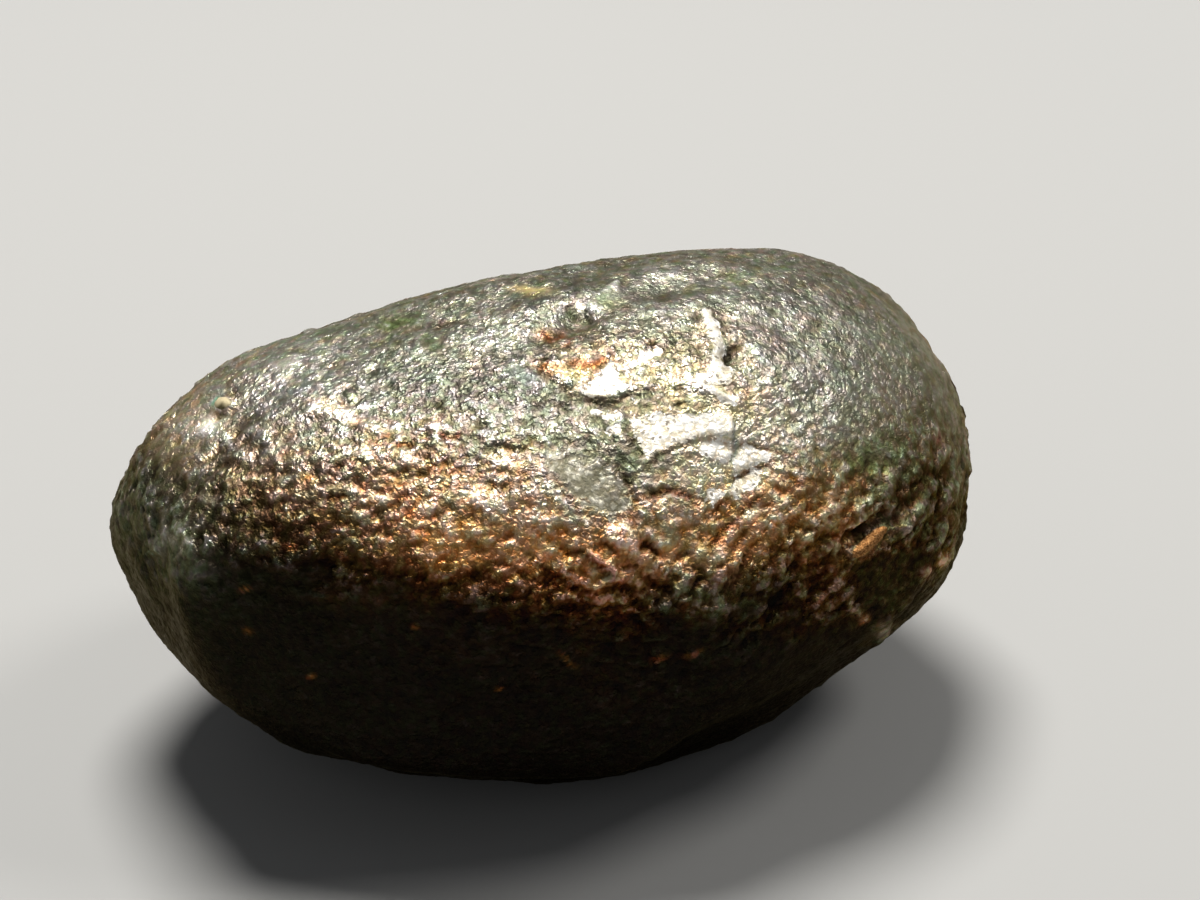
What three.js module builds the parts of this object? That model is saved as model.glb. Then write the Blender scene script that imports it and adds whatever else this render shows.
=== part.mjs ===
// A water-worn nugget of mohawkite: one solid lump of heavy metallic ore,
// egg shaped, wider at the +X end, with broken flats on its lower front and
// one small flat underneath that it rests on.
//
// Millimetres, +Z up. The origin is under the middle of the nugget, on the
// plane it rests on. +X runs along the nugget towards the wide end, -Y faces
// the front, where the fresh break and the copper bleb are.

import * as THREE from 'three';
import { mergeVertices } from 'three/addons/utils/BufferGeometryUtils.js';

// ---------------------------------------------------------------- dimensions
const HALF_LENGTH = 18.2;      // rough half sizes, used to spread the facets
const HALF_WIDTH = 12.6;
const HALF_HEIGHT = 10.3;
const CENTRE_HEIGHT = 9.8;     // centre of the lump above the resting plane
const SEGMENTS_LONG = 32;      // facets along X, Y and Z
const SEGMENTS_WIDE = 23;
const SEGMENTS_HIGH = 18;
const WORN_ROUNDING = 16;      // higher is crisper: how worn faces blend
const BROKEN_ROUNDING = 70;    // the same for the younger broken flats

// Worn faces of the pebble: outward direction and distance from the centre.
const WORN_FACES = [
  [-0.9908, 0.1090, 0.0800, 19.87],
  [-0.9974, 0.0140, -0.0710, 21.41],
  [-0.9735, -0.0800, -0.2141, 22.85],
  [-0.9157, -0.1789, -0.3599, 20.33],
  [-0.8293, -0.2721, -0.4882, 15.65],
  [-0.7179, -0.3599, -0.5959, 18.69],
  [-0.5780, -0.4420, -0.6860, 18.07],
  [-0.4200, -0.5110, -0.7500, 12.69],
  [-0.2470, -0.5669, -0.7859, 12.04],
  [-0.0680, -0.6109, -0.7888, 11.61],
  [0.1090, -0.6398, -0.7608, 14.87],
  [0.2851, -0.6492, -0.7052, 12.38],
  [0.4451, -0.6431, -0.6231, 13.19],
  [0.5912, -0.6222, -0.5132, 16.92],
  [0.7182, -0.5822, -0.3811, 20.29],
  [0.8164, -0.5252, -0.2401, 27.06],
  [0.8863, -0.4541, -0.0910, 34.46],
  [0.9287, -0.3639, 0.0710, 36.82],
  [0.9372, -0.2721, 0.2181, 33.41],
  [0.9140, -0.1640, 0.3710, 27.45],
  [0.8599, -0.0590, 0.5070, 33.95],
  [0.7727, 0.0500, 0.6328, 36.00],
  [0.6613, 0.1531, 0.7343, 29.09],
  [0.5221, 0.2510, 0.8151, 21.60],
  [0.3682, 0.3372, 0.8665, 16.68],
  [0.2089, 0.4059, 0.8897, 15.35],
  [0.0310, 0.4621, 0.8863, 10.37],
  [-0.1511, 0.4902, 0.8584, 10.31],
  [-0.3290, 0.4870, 0.8090, 13.59],
  [-0.4949, 0.4639, 0.7348, 14.17],
  [-0.6415, 0.4237, 0.6395, 16.56],
  [-0.7747, 0.3629, 0.5178, 18.24],
  [-0.8798, 0.2869, 0.3789, 18.85],
  [-0.9489, 0.2060, 0.2390, 18.91],
  [0.0540, -0.1390, 0.9888, 11.88],
  [-0.2299, 0.1130, 0.9666, 10.18],
  [0.3161, 0.0920, 0.9443, 12.87],
  [-0.2011, -0.3301, 0.9223, 10.71],
  [0.3859, -0.2839, 0.8778, 14.32],
  [-0.5147, -0.0560, 0.8555, 13.86],
  [0.0120, -0.5850, 0.8110, 12.10],
  [0.6407, -0.0430, 0.7666, 16.05],
  [-0.5213, -0.4172, 0.7444, 14.42],
  [0.3958, -0.5947, 0.6997, 13.31],
  [-0.7138, 0.1760, 0.6778, 17.60],
  [-0.2501, -0.7324, 0.6333, 12.71],
  [0.7390, -0.3270, 0.5890, 16.28],
  [-0.7808, -0.2629, 0.5668, 16.71],
  [0.4053, 0.7345, 0.5443, 14.10],
  [0.2000, -0.8291, 0.5221, 12.71],
  [-0.5599, -0.6919, 0.4559, 15.36],
  [-0.0560, 0.8997, 0.4329, 11.77],
  [0.6560, -0.6330, 0.4110, 16.49],
  [-0.9209, 0.0240, 0.3890, 25.13],
  [0.7017, 0.6108, 0.3669, 19.58],
  [-0.1060, -0.9330, 0.3440, 13.06],
  [-0.5568, 0.7657, 0.3219, 15.15],
  [-0.8231, -0.4951, 0.2781, 21.28],
  [0.2749, 0.9268, 0.2559, 13.61],
  [0.4261, -0.8742, 0.2330, 14.71],
  [0.9171, 0.3510, 0.1890, 18.03],
  [-0.4409, -0.8819, 0.1670, 14.99],
  [-0.2721, 0.9514, 0.1441, 14.54],
  [0.8460, -0.5190, 0.1220, 17.32],
  [-0.9769, -0.1890, 0.1000, 33.23],
  [0.5938, 0.8008, 0.0780, 19.67],
  [0.1030, -0.9931, 0.0560, 13.09],
  [-0.7479, 0.6629, 0.0330, 18.06],
  [-0.7268, -0.6868, -0.0110, 16.17],
  [0.0720, 0.9969, -0.0330, 13.11],
  [0.6198, -0.7828, -0.0560, 16.10],
  [0.8311, 0.5471, -0.1000, 18.63],
  [-0.2421, -0.9625, -0.1221, 13.47],
  [-0.4699, 0.8709, -0.1440, 14.88],
  [-0.9017, -0.3889, -0.1889, 37.21],
  [0.4000, 0.8919, -0.2110, 14.88],
  [0.3060, -0.9231, -0.2330, 13.30],
  [-0.8441, 0.4711, -0.2560, 18.55],
  [0.9348, 0.2210, -0.2780, 20.14],
  [-0.5360, -0.7891, -0.3000, 16.41],
  [-0.1360, 0.9369, -0.3220, 13.35],
  [0.6429, 0.6599, -0.3889, 15.46],
  [-0.0280, -0.9112, -0.4111, 13.45],
  [-0.5881, 0.6831, -0.4331, 17.56],
  [0.8838, -0.1050, -0.4559, 17.20],
  [-0.7130, -0.5130, -0.4780, 44.53],
  [0.1770, 0.8478, -0.4999, 12.78],
  [-0.8033, 0.2421, -0.5442, 18.15],
  [0.7422, 0.3571, -0.5671, 19.12],
  [-0.3001, -0.7502, -0.5892, 15.09],
  [-0.2799, 0.7407, -0.6108, 12.77],
  [0.3878, 0.6247, -0.6777, 13.60],
  [-0.5532, 0.4151, -0.7222, 13.38],
  [0.6644, 0.0660, -0.7445, 15.06],
  [-0.0070, 0.6141, -0.7892, 11.58],
  [-0.5512, 0.0420, -0.8333, 14.43],
  [0.4070, 0.3190, -0.8559, 12.29],
  [-0.2380, 0.3650, -0.9001, 11.64],
  [0.3742, -0.0960, -0.9224, 11.89],
  [-0.2901, -0.1551, -0.9443, 11.58],
  [0.0850, 0.2410, -0.9668, 11.09],
  [0.0580, -0.1370, -0.9889, 11.34],
  [0.0000, 0.0000, -1.0000, 10.91],
  [0.0000, 0.0000, 1.0000, 10.57],
];

// Younger broken flats, crisper than the worn faces, in the same form.
const BROKEN_FLATS = [
  [-0.9565, -0.2793, -0.0844, 16.60],  // left end
  [0.3103, -0.8067, -0.5030, 11.59],  // lower right edge
  [-0.4846, -0.8747, -0.0001, 12.67],  // left front flank
  [-0.1135, -0.9788, -0.1702, 11.26],  // middle front flank
  [0.2609, -0.9625, 0.0742, 12.49],  // right front flank
];

// Broad swells of the worn surface: wave vector (radians per millimetre),
// height and phase.
const SWELLS = [
  [0.002, 0.554, -0.508, 0.055, 5.49],
  [0.029, 0.646, -0.237, 0.055, 1.75],
  [0.075, -0.664, -0.021, 0.078, 4.98],
  [-0.498, -0.337, -0.482, 0.065, 0.28],
  [0.064, -0.076, -1.027, 0.043, 3.23],
  [-0.901, -0.281, -0.576, 0.034, 2.32],
  [-0.039, 1.068, -0.705, 0.048, 3.20],
  [-0.917, 0.057, 1.017, 0.041, 3.19],
  [-0.398, 1.242, 0.473, 0.038, 2.03],
  [-0.424, 1.532, -0.149, 0.028, 3.80],
  [0.738, -1.684, 0.463, 0.023, 2.53],
  [0.802, 1.021, -1.180, 0.024, 5.49],
  [-0.556, -0.117, 1.509, 0.032, 3.58],
  [-0.285, 1.735, -0.488, 0.022, 5.55],
  [-0.334, -1.886, -0.020, 0.023, 0.24],
];

// Hollows (positive depth) and bumps (negative depth) that stand out on the
// front: place relative to the centre of the lump, direction of the long
// axis, half lengths along and across it, and depth.
const MARKS = [
  { name: 'fracture dish', at: [3.00, -7.22, 8.74], along: [0.967, 0.169, -0.191], half: [4.30, 2.40], depth: 0.32 },
  { name: 'top notch', at: [1.01, -1.54, 10.06], along: [0.694, 0.719, 0.040], half: [0.95, 0.70], depth: 0.55 },
  { name: 'vug', at: [6.11, -5.23, 9.50], along: [-0.369, -0.894, -0.255], half: [0.62, 0.42], depth: 0.50 },
  { name: 'copper slit', at: [10.49, -9.49, 3.05], along: [0.677, 0.735, -0.041], half: [1.25, 0.50], depth: 0.60 },
  { name: 'slit lip', at: [12.96, -8.19, 2.50], along: [0.509, 0.849, 0.143], half: [0.95, 0.45], depth: -0.28 },
  { name: 'lump below facet', at: [11.24, -8.98, -1.59], along: [0.618, 0.784, -0.058], half: [0.90, 0.60], depth: -0.25 },
  { name: 'vein hollow', at: [-0.55, -8.96, 7.42], along: [0.354, -0.609, -0.710], half: [2.40, 1.10], depth: 0.20 },
  { name: 'left grain bump', at: [-13.00, 0.31, 6.93], along: [0.447, 0.352, 0.822], half: [0.55, 0.45], depth: -0.22 },
  { name: 'saddle below fracture', at: [0.63, -11.86, 3.21], along: [0.873, 0.170, 0.456], half: [3.00, 1.20], depth: 0.18 },
];

// ------------------------------------------------------------------- surface
function softDistance(u, faces, power) {
  let sum = 0;
  for (const [nx, ny, nz, h] of faces) {
    const q = (u.x * nx + u.y * ny + u.z * nz) / h;
    if (q > 0) sum += Math.pow(q * 10, power);
  }
  return sum > 0 ? 10 / Math.pow(sum, 1 / power) : 1e6;
}

function radius(u) {
  const worn = softDistance(u, WORN_FACES, WORN_ROUNDING);
  const broken = softDistance(u, BROKEN_FLATS, BROKEN_ROUNDING);
  const s = Math.min(worn, broken);
  let r = s / Math.pow(Math.pow(s / worn, BROKEN_ROUNDING) + Math.pow(s / broken, BROKEN_ROUNDING), 1 / BROKEN_ROUNDING);
  const p = u.clone().multiplyScalar(r);
  for (const [kx, ky, kz, height, phase] of SWELLS) {
    r += height * Math.sin(kx * p.x + ky * p.y + kz * p.z + phase);
  }
  for (const mark of MARKS) {
    const d = p.clone().sub(new THREE.Vector3(...mark.at));
    const along = new THREE.Vector3(...mark.along);
    const out = new THREE.Vector3(...mark.at).normalize();
    const across = out.clone().cross(along).normalize();
    const a = d.dot(along) / mark.half[0];
    const b = d.dot(across) / mark.half[1];
    const c = d.dot(out) / 4;
    r -= mark.depth * Math.exp(-(a * a + b * b + c * c));
  }
  return r;
}

// ------------------------------------------------------------------ the lump
// A cube divided into squares is blown up to the pebble, so that its facets
// stay even in size all over.
function nuggetGeometry() {
  const box = new THREE.BoxGeometry(2, 2, 2, SEGMENTS_LONG, SEGMENTS_WIDE, SEGMENTS_HIGH);
  box.deleteAttribute('normal');
  box.deleteAttribute('uv');
  const geometry = mergeVertices(box);
  geometry.clearGroups();
  const pos = geometry.attributes.position;
  for (let i = 0; i < pos.count; i++) {
    const q = new THREE.Vector3(
      Math.tan(pos.getX(i) * Math.PI / 4),
      Math.tan(pos.getY(i) * Math.PI / 4),
      Math.tan(pos.getZ(i) * Math.PI / 4),
    ).normalize();
    const u = new THREE.Vector3(q.x * HALF_LENGTH, q.y * HALF_WIDTH, q.z * HALF_HEIGHT).normalize();
    const p = u.clone().multiplyScalar(radius(u));
    pos.setXYZ(i, p.x, p.y, Math.max(p.z + CENTRE_HEIGHT, 0));
  }
  geometry.computeBoundingBox();
  const middle = geometry.boundingBox.getCenter(new THREE.Vector3());
  geometry.translate(-middle.x, -middle.y, 0);
  geometry.computeVertexNormals();
  return geometry;
}

// Brown-grey metallic ore, half bright: arsenide grains under a thin tarnish.
const ore = new THREE.MeshStandardMaterial({ color: 0x7c7263, roughness: 0.42, metalness: 0.85 });

const nugget = new THREE.Mesh(nuggetGeometry(), ore);
nugget.name = 'nugget';

const part = new THREE.Group();
part.name = 'mohawkite_nugget';
part.add(nugget);

export default part;
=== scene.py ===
"""Looks of the mohawkite nugget: one water-worn lump of metallic copper
arsenide ore. Lengths below are in millimetres unless a name says otherwise;
the mesh is written in metres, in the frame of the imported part."""

import math

import bpy
import numpy as np
from mathutils import Matrix, Vector


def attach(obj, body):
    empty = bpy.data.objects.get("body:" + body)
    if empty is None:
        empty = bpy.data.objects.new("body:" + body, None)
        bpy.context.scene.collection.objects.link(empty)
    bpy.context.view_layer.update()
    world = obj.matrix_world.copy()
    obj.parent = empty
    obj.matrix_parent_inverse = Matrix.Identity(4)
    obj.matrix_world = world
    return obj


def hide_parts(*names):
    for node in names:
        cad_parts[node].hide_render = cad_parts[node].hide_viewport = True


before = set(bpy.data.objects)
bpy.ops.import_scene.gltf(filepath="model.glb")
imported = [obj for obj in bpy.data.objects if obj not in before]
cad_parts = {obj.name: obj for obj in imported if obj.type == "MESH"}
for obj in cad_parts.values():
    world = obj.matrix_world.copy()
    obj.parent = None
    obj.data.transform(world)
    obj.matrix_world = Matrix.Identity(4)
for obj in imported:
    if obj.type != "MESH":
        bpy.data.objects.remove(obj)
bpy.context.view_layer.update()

# ------------------------------------------------------------------ camera
# Seen from the front, a little from the left and from above.
AZ, EL = math.radians(-15.0), math.radians(31.0)
BACK = np.array([math.sin(AZ) * math.cos(EL), -math.cos(AZ) * math.cos(EL), math.sin(EL)])
RIGHT = np.array([math.cos(AZ), math.sin(AZ), 0.0])
UP = np.cross(BACK, RIGHT)
LENS, SENSOR = 85.0, 36.0
VIEW_W, VIEW_H = 1200.0, 900.0
FOCAL = LENS / SENSOR * VIEW_W
CENTRE = np.array([-0.233, -0.159, 9.8])      # centre of the lump in the part's frame
CAM = np.array([-23.7536, -97.0209, 63.0175]) + CENTRE   # camera place

cam_data = bpy.data.cameras.new("view_camera")
cam_data.lens = LENS
cam_data.sensor_width = SENSOR
cam_data.clip_start = 0.002
cam_data.clip_end = 10.0
cam = bpy.data.objects.new("view_camera", cam_data)
bpy.context.scene.collection.objects.link(cam)

cam.matrix_world = Matrix((
    (RIGHT[0], UP[0], BACK[0], CAM[0] / 1000),
    (RIGHT[1], UP[1], BACK[1], CAM[1] / 1000),
    (RIGHT[2], UP[2], BACK[2], CAM[2] / 1000),
    (0, 0, 0, 1),
))
bpy.context.scene.camera = cam

# ------------------------------------------------------- shape of the lump
# The same tables as the solid: worn faces, broken flats, swells and marks.
WORN_FACES = [
    [-0.9908, 0.1090, 0.0800, 19.87], [-0.9974, 0.0140, -0.0710, 21.41], [-0.9735, -0.0800, -0.2141, 22.85],
    [-0.9157, -0.1789, -0.3599, 20.33], [-0.8293, -0.2721, -0.4882, 15.65], [-0.7179, -0.3599, -0.5959, 18.69],
    [-0.5780, -0.4420, -0.6860, 18.07], [-0.4200, -0.5110, -0.7500, 12.69], [-0.2470, -0.5669, -0.7859, 12.04],
    [-0.0680, -0.6109, -0.7888, 11.61], [0.1090, -0.6398, -0.7608, 14.87], [0.2851, -0.6492, -0.7052, 12.38],
    [0.4451, -0.6431, -0.6231, 13.19], [0.5912, -0.6222, -0.5132, 16.92], [0.7182, -0.5822, -0.3811, 20.29],
    [0.8164, -0.5252, -0.2401, 27.06], [0.8863, -0.4541, -0.0910, 34.46], [0.9287, -0.3639, 0.0710, 36.82],
    [0.9372, -0.2721, 0.2181, 33.41], [0.9140, -0.1640, 0.3710, 27.45], [0.8599, -0.0590, 0.5070, 33.95],
    [0.7727, 0.0500, 0.6328, 36.00], [0.6613, 0.1531, 0.7343, 29.09], [0.5221, 0.2510, 0.8151, 21.60],
    [0.3682, 0.3372, 0.8665, 16.68], [0.2089, 0.4059, 0.8897, 15.35], [0.0310, 0.4621, 0.8863, 10.37],
    [-0.1511, 0.4902, 0.8584, 10.31], [-0.3290, 0.4870, 0.8090, 13.59], [-0.4949, 0.4639, 0.7348, 14.17],
    [-0.6415, 0.4237, 0.6395, 16.56], [-0.7747, 0.3629, 0.5178, 18.24], [-0.8798, 0.2869, 0.3789, 18.85],
    [-0.9489, 0.2060, 0.2390, 18.91], [0.0540, -0.1390, 0.9888, 11.88], [-0.2299, 0.1130, 0.9666, 10.18],
    [0.3161, 0.0920, 0.9443, 12.87], [-0.2011, -0.3301, 0.9223, 10.71], [0.3859, -0.2839, 0.8778, 14.32],
    [-0.5147, -0.0560, 0.8555, 13.86], [0.0120, -0.5850, 0.8110, 12.10], [0.6407, -0.0430, 0.7666, 16.05],
    [-0.5213, -0.4172, 0.7444, 14.42], [0.3958, -0.5947, 0.6997, 13.31], [-0.7138, 0.1760, 0.6778, 17.60],
    [-0.2501, -0.7324, 0.6333, 12.71], [0.7390, -0.3270, 0.5890, 16.28], [-0.7808, -0.2629, 0.5668, 16.71],
    [0.4053, 0.7345, 0.5443, 14.10], [0.2000, -0.8291, 0.5221, 12.71], [-0.5599, -0.6919, 0.4559, 15.36],
    [-0.0560, 0.8997, 0.4329, 11.77], [0.6560, -0.6330, 0.4110, 16.49], [-0.9209, 0.0240, 0.3890, 25.13],
    [0.7017, 0.6108, 0.3669, 19.58], [-0.1060, -0.9330, 0.3440, 13.06], [-0.5568, 0.7657, 0.3219, 15.15],
    [-0.8231, -0.4951, 0.2781, 21.28], [0.2749, 0.9268, 0.2559, 13.61], [0.4261, -0.8742, 0.2330, 14.71],
    [0.9171, 0.3510, 0.1890, 18.03], [-0.4409, -0.8819, 0.1670, 14.99], [-0.2721, 0.9514, 0.1441, 14.54],
    [0.8460, -0.5190, 0.1220, 17.32], [-0.9769, -0.1890, 0.1000, 33.23], [0.5938, 0.8008, 0.0780, 19.67],
    [0.1030, -0.9931, 0.0560, 13.09], [-0.7479, 0.6629, 0.0330, 18.06], [-0.7268, -0.6868, -0.0110, 16.17],
    [0.0720, 0.9969, -0.0330, 13.11], [0.6198, -0.7828, -0.0560, 16.10], [0.8311, 0.5471, -0.1000, 18.63],
    [-0.2421, -0.9625, -0.1221, 13.47], [-0.4699, 0.8709, -0.1440, 14.88], [-0.9017, -0.3889, -0.1889, 37.21],
    [0.4000, 0.8919, -0.2110, 14.88], [0.3060, -0.9231, -0.2330, 13.30], [-0.8441, 0.4711, -0.2560, 18.55],
    [0.9348, 0.2210, -0.2780, 20.14], [-0.5360, -0.7891, -0.3000, 16.41], [-0.1360, 0.9369, -0.3220, 13.35],
    [0.6429, 0.6599, -0.3889, 15.46], [-0.0280, -0.9112, -0.4111, 13.45], [-0.5881, 0.6831, -0.4331, 17.56],
    [0.8838, -0.1050, -0.4559, 17.20], [-0.7130, -0.5130, -0.4780, 44.53], [0.1770, 0.8478, -0.4999, 12.78],
    [-0.8033, 0.2421, -0.5442, 18.15], [0.7422, 0.3571, -0.5671, 19.12], [-0.3001, -0.7502, -0.5892, 15.09],
    [-0.2799, 0.7407, -0.6108, 12.77], [0.3878, 0.6247, -0.6777, 13.60], [-0.5532, 0.4151, -0.7222, 13.38],
    [0.6644, 0.0660, -0.7445, 15.06], [-0.0070, 0.6141, -0.7892, 11.58], [-0.5512, 0.0420, -0.8333, 14.43],
    [0.4070, 0.3190, -0.8559, 12.29], [-0.2380, 0.3650, -0.9001, 11.64], [0.3742, -0.0960, -0.9224, 11.89],
    [-0.2901, -0.1551, -0.9443, 11.58], [0.0850, 0.2410, -0.9668, 11.09], [0.0580, -0.1370, -0.9889, 11.34],
    [0.0000, 0.0000, -1.0000, 10.91], [0.0000, 0.0000, 1.0000, 10.57],
]
BROKEN_FLATS = [
    [-0.9565, -0.2793, -0.0844, 16.60], [0.3103, -0.8067, -0.5030, 11.59],
    [-0.4846, -0.8747, -0.0001, 12.67], [-0.1135, -0.9788, -0.1702, 11.26],
    [0.2609, -0.9625, 0.0742, 12.49],
]
SWELLS = [
    [0.002, 0.554, -0.508, 0.055, 5.49], [0.029, 0.646, -0.237, 0.055, 1.75],
    [0.075, -0.664, -0.021, 0.078, 4.98], [-0.498, -0.337, -0.482, 0.065, 0.28],
    [0.064, -0.076, -1.027, 0.043, 3.23], [-0.901, -0.281, -0.576, 0.034, 2.32],
    [-0.039, 1.068, -0.705, 0.048, 3.20], [-0.917, 0.057, 1.017, 0.041, 3.19],
    [-0.398, 1.242, 0.473, 0.038, 2.03], [-0.424, 1.532, -0.149, 0.028, 3.80],
    [0.738, -1.684, 0.463, 0.023, 2.53], [0.802, 1.021, -1.180, 0.024, 5.49],
    [-0.556, -0.117, 1.509, 0.032, 3.58], [-0.285, 1.735, -0.488, 0.022, 5.55],
    [-0.334, -1.886, -0.020, 0.023, 0.24],
]
# place, direction of the long axis, half lengths, depth (a bump is negative)
MARKS = [
    ([3.00, -7.22, 8.74], [0.967, 0.169, -0.191], (4.30, 2.40), 0.32),  # fracture dish
    ([1.01, -1.54, 10.06], [0.694, 0.719, 0.040], (0.95, 0.70), 0.55),  # top notch
    ([6.11, -5.23, 9.50], [-0.369, -0.894, -0.255], (0.62, 0.42), 0.50),  # vug
    ([10.49, -9.49, 3.05], [0.677, 0.735, -0.041], (1.25, 0.50), 0.60),  # copper slit
    ([12.96, -8.19, 2.50], [0.509, 0.849, 0.143], (0.95, 0.45), -0.28),  # slit lip
    ([11.24, -8.98, -1.59], [0.618, 0.784, -0.058], (0.90, 0.60), -0.25),  # lump below facet
    ([-0.55, -8.96, 7.42], [0.354, -0.609, -0.710], (2.40, 1.10), 0.20),  # vein hollow
    ([-13.00, 0.31, 6.93], [0.447, 0.352, 0.822], (0.55, 0.45), -0.22),  # left grain bump
    ([0.63, -11.86, 3.21], [0.873, 0.170, 0.456], (3.00, 1.20), 0.18),  # saddle below fracture
]
WORN_ROUNDING, BROKEN_ROUNDING = 16.0, 70.0
SWELLS = np.array(SWELLS)


def soft_distance(u, faces, power):
    faces = np.array(faces)
    q = np.maximum(u @ faces[:, :3].T, 0.0) / faces[:, 3]
    m = np.maximum(q.max(1), 1e-9)
    return 1.0 / (m * ((q / m[:, None]) ** power).sum(1) ** (1.0 / power))


def lump_radius(u):
    worn = soft_distance(u, WORN_FACES, WORN_ROUNDING)
    broken = soft_distance(u, BROKEN_FLATS, BROKEN_ROUNDING)
    s = np.minimum(worn, broken)
    r = s / ((s / worn) ** BROKEN_ROUNDING + (s / broken) ** BROKEN_ROUNDING) ** (1 / BROKEN_ROUNDING)
    p = u * r[:, None]
    r = r + (np.sin(p @ SWELLS[:, :3].T + SWELLS[:, 4]) * SWELLS[:, 3]).sum(1)
    for at, along, half, depth in MARKS:
        at, along = np.array(at), np.array(along)
        out = at / np.linalg.norm(at)
        across = np.cross(out, along)
        across /= np.linalg.norm(across)
        d = p - at
        r = r - depth * np.exp(-((d @ along / half[0]) ** 2 + (d @ across / half[1]) ** 2 + (d @ out / 4) ** 2))
    return r


# ------------------------------------------------------------------- mesh
# A cube's squares blown up to the lump, closer together on the front and top.
NX, NY, NZ = 170, 120, 90


def spread(t, lean):
    c = 2.0 * t - 1.0
    c = c + lean * (1.0 - c * c)
    return np.tan(c * math.pi / 4)


def cube_mesh(nx, ny, nz):
    lattice, quads, uvs = {}, [], []
    def key(i, j, k):
        return (i * (ny + 1) + j) * (nz + 1) + k
    # (fixed axis, value, first axis, second axis), wound to face out
    n = (nx, ny, nz)
    sides = [(2, nz, 0, 1), (2, 0, 1, 0), (1, 0, 0, 2), (1, ny, 2, 0), (0, nx, 1, 2), (0, 0, 2, 1)]
    # where each side lies on the unwrapped sheet: column start, row start (in squares)
    gap = 4
    place = {(2, nz): (0, 0), (2, 0): (nx + gap, 0), (1, 0): (0, ny + gap), (1, ny): (nx + gap, ny + gap),
             (0, nx): (0, ny + nz + 2 * gap), (0, 0): (ny + gap, ny + nz + 2 * gap)}
    sheet = max(2 * nx + gap, ny + 2 * nz + 2 * gap) + 2 * gap
    keys, uv_all = [], []
    for axis, value, a, b in sides:
        ia, ib = np.meshgrid(np.arange(n[a]), np.arange(n[b]), indexing="ij")
        ia, ib = ia.ravel(), ib.ravel()
        corner = []
        for da, db in ((0, 0), (1, 0), (1, 1), (0, 1)):
            ijk = [None, None, None]
            ijk[axis] = np.full(ia.shape, value)
            ijk[a] = ia + da
            ijk[b] = ib + db
            corner.append(key(*ijk))
        keys.append(np.stack(corner, 1))
        u0, v0 = place[(axis, value)]
        flip = a > b            # keep every side the same way round on the sheet
        cu = []
        for da, db in ((0, 0), (1, 0), (1, 1), (0, 1)):
            s, t = ((ib + db, ia + da) if flip else (ia + da, ib + db))
            cu.append(np.stack([(u0 + gap + s) / sheet, (v0 + gap + t) / sheet], 1))
        uv_all.append(np.stack(cu, 1))
    keys = np.concatenate(keys)
    uv = np.concatenate(uv_all)
    uniq, inv = np.unique(keys.ravel(), return_inverse=True)
    quads = inv.reshape(keys.shape)
    k = uniq % (nz + 1)
    j = (uniq // (nz + 1)) % (ny + 1)
    i = uniq // ((nz + 1) * (ny + 1))
    q = np.stack([spread(i / nx, 0.0), spread(j / ny, -0.13), spread(k / nz, 0.10)], 1)
    q /= np.linalg.norm(q, axis=1, keepdims=True)
    u = q * np.array([18.2, 12.6, 10.3])
    u /= np.linalg.norm(u, axis=1, keepdims=True)
    return u, quads, uv


U, QUADS, UV = cube_mesh(NX, NY, NZ)
R = lump_radius(U)
P0 = U * R[:, None]                        # smooth lump, about its own centre


def vertex_normals(p):
    a = p[QUADS[:, 2]] - p[QUADS[:, 0]]
    b = p[QUADS[:, 3]] - p[QUADS[:, 1]]
    fn = np.cross(a, b)
    n = np.zeros_like(p)
    for c in range(4):
        for ax in range(3):
            n[:, ax] += np.bincount(QUADS[:, c], fn[:, ax], len(p))
    return n / np.maximum(np.linalg.norm(n, axis=1, keepdims=True), 1e-12)


N0 = vertex_normals(P0)

# ------------------------------------------------------------------- noise
def _hash(ix, iy, iz, seed):
    h = (ix.astype(np.int64) * 73856093) ^ (iy.astype(np.int64) * 19349663) ^ (iz.astype(np.int64) * 83492791) ^ (seed * 2654435761)
    h = (h & 0xFFFFFFFF).astype(np.uint64)
    h ^= h >> np.uint64(16)
    h = (h * np.uint64(0x7FEB352D)) & np.uint64(0xFFFFFFFF)
    h ^= h >> np.uint64(15)
    h = (h * np.uint64(0x846CA68B)) & np.uint64(0xFFFFFFFF)
    h ^= h >> np.uint64(16)
    return h


def _unit(h, part):
    return ((h >> np.uint64(part * 10)) & np.uint64(1023)).astype(float) / 1023.0


def noise(p, seed):
    """Smooth gradient noise, about -1 to 1."""
    i = np.floor(p).astype(np.int64)
    f = p - i
    w = f * f * f * (f * (f * 6 - 15) + 10)
    total = np.zeros(len(p))
    for dx in (0, 1):
        for dy in (0, 1):
            for dz in (0, 1):
                h = _hash(i[:, 0] + dx, i[:, 1] + dy, i[:, 2] + dz, seed)
                g = np.stack([_unit(h, 0), _unit(h, 1), _unit(h, 2)], 1) * 2 - 1
                d = f - np.array([dx, dy, dz])
                wt = (w[:, 0] if dx else 1 - w[:, 0]) * (w[:, 1] if dy else 1 - w[:, 1]) * (w[:, 2] if dz else 1 - w[:, 2])
                total += wt * (g * d).sum(1)
    return total * 1.6


def fbm(p, seed, octaves=3, gain=0.5):
    total, amp = np.zeros(len(p)), 1.0
    for o in range(octaves):
        total += amp * noise(p * 2 ** o + 17.3 * o, seed + o)
        amp *= gain
    return total


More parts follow.
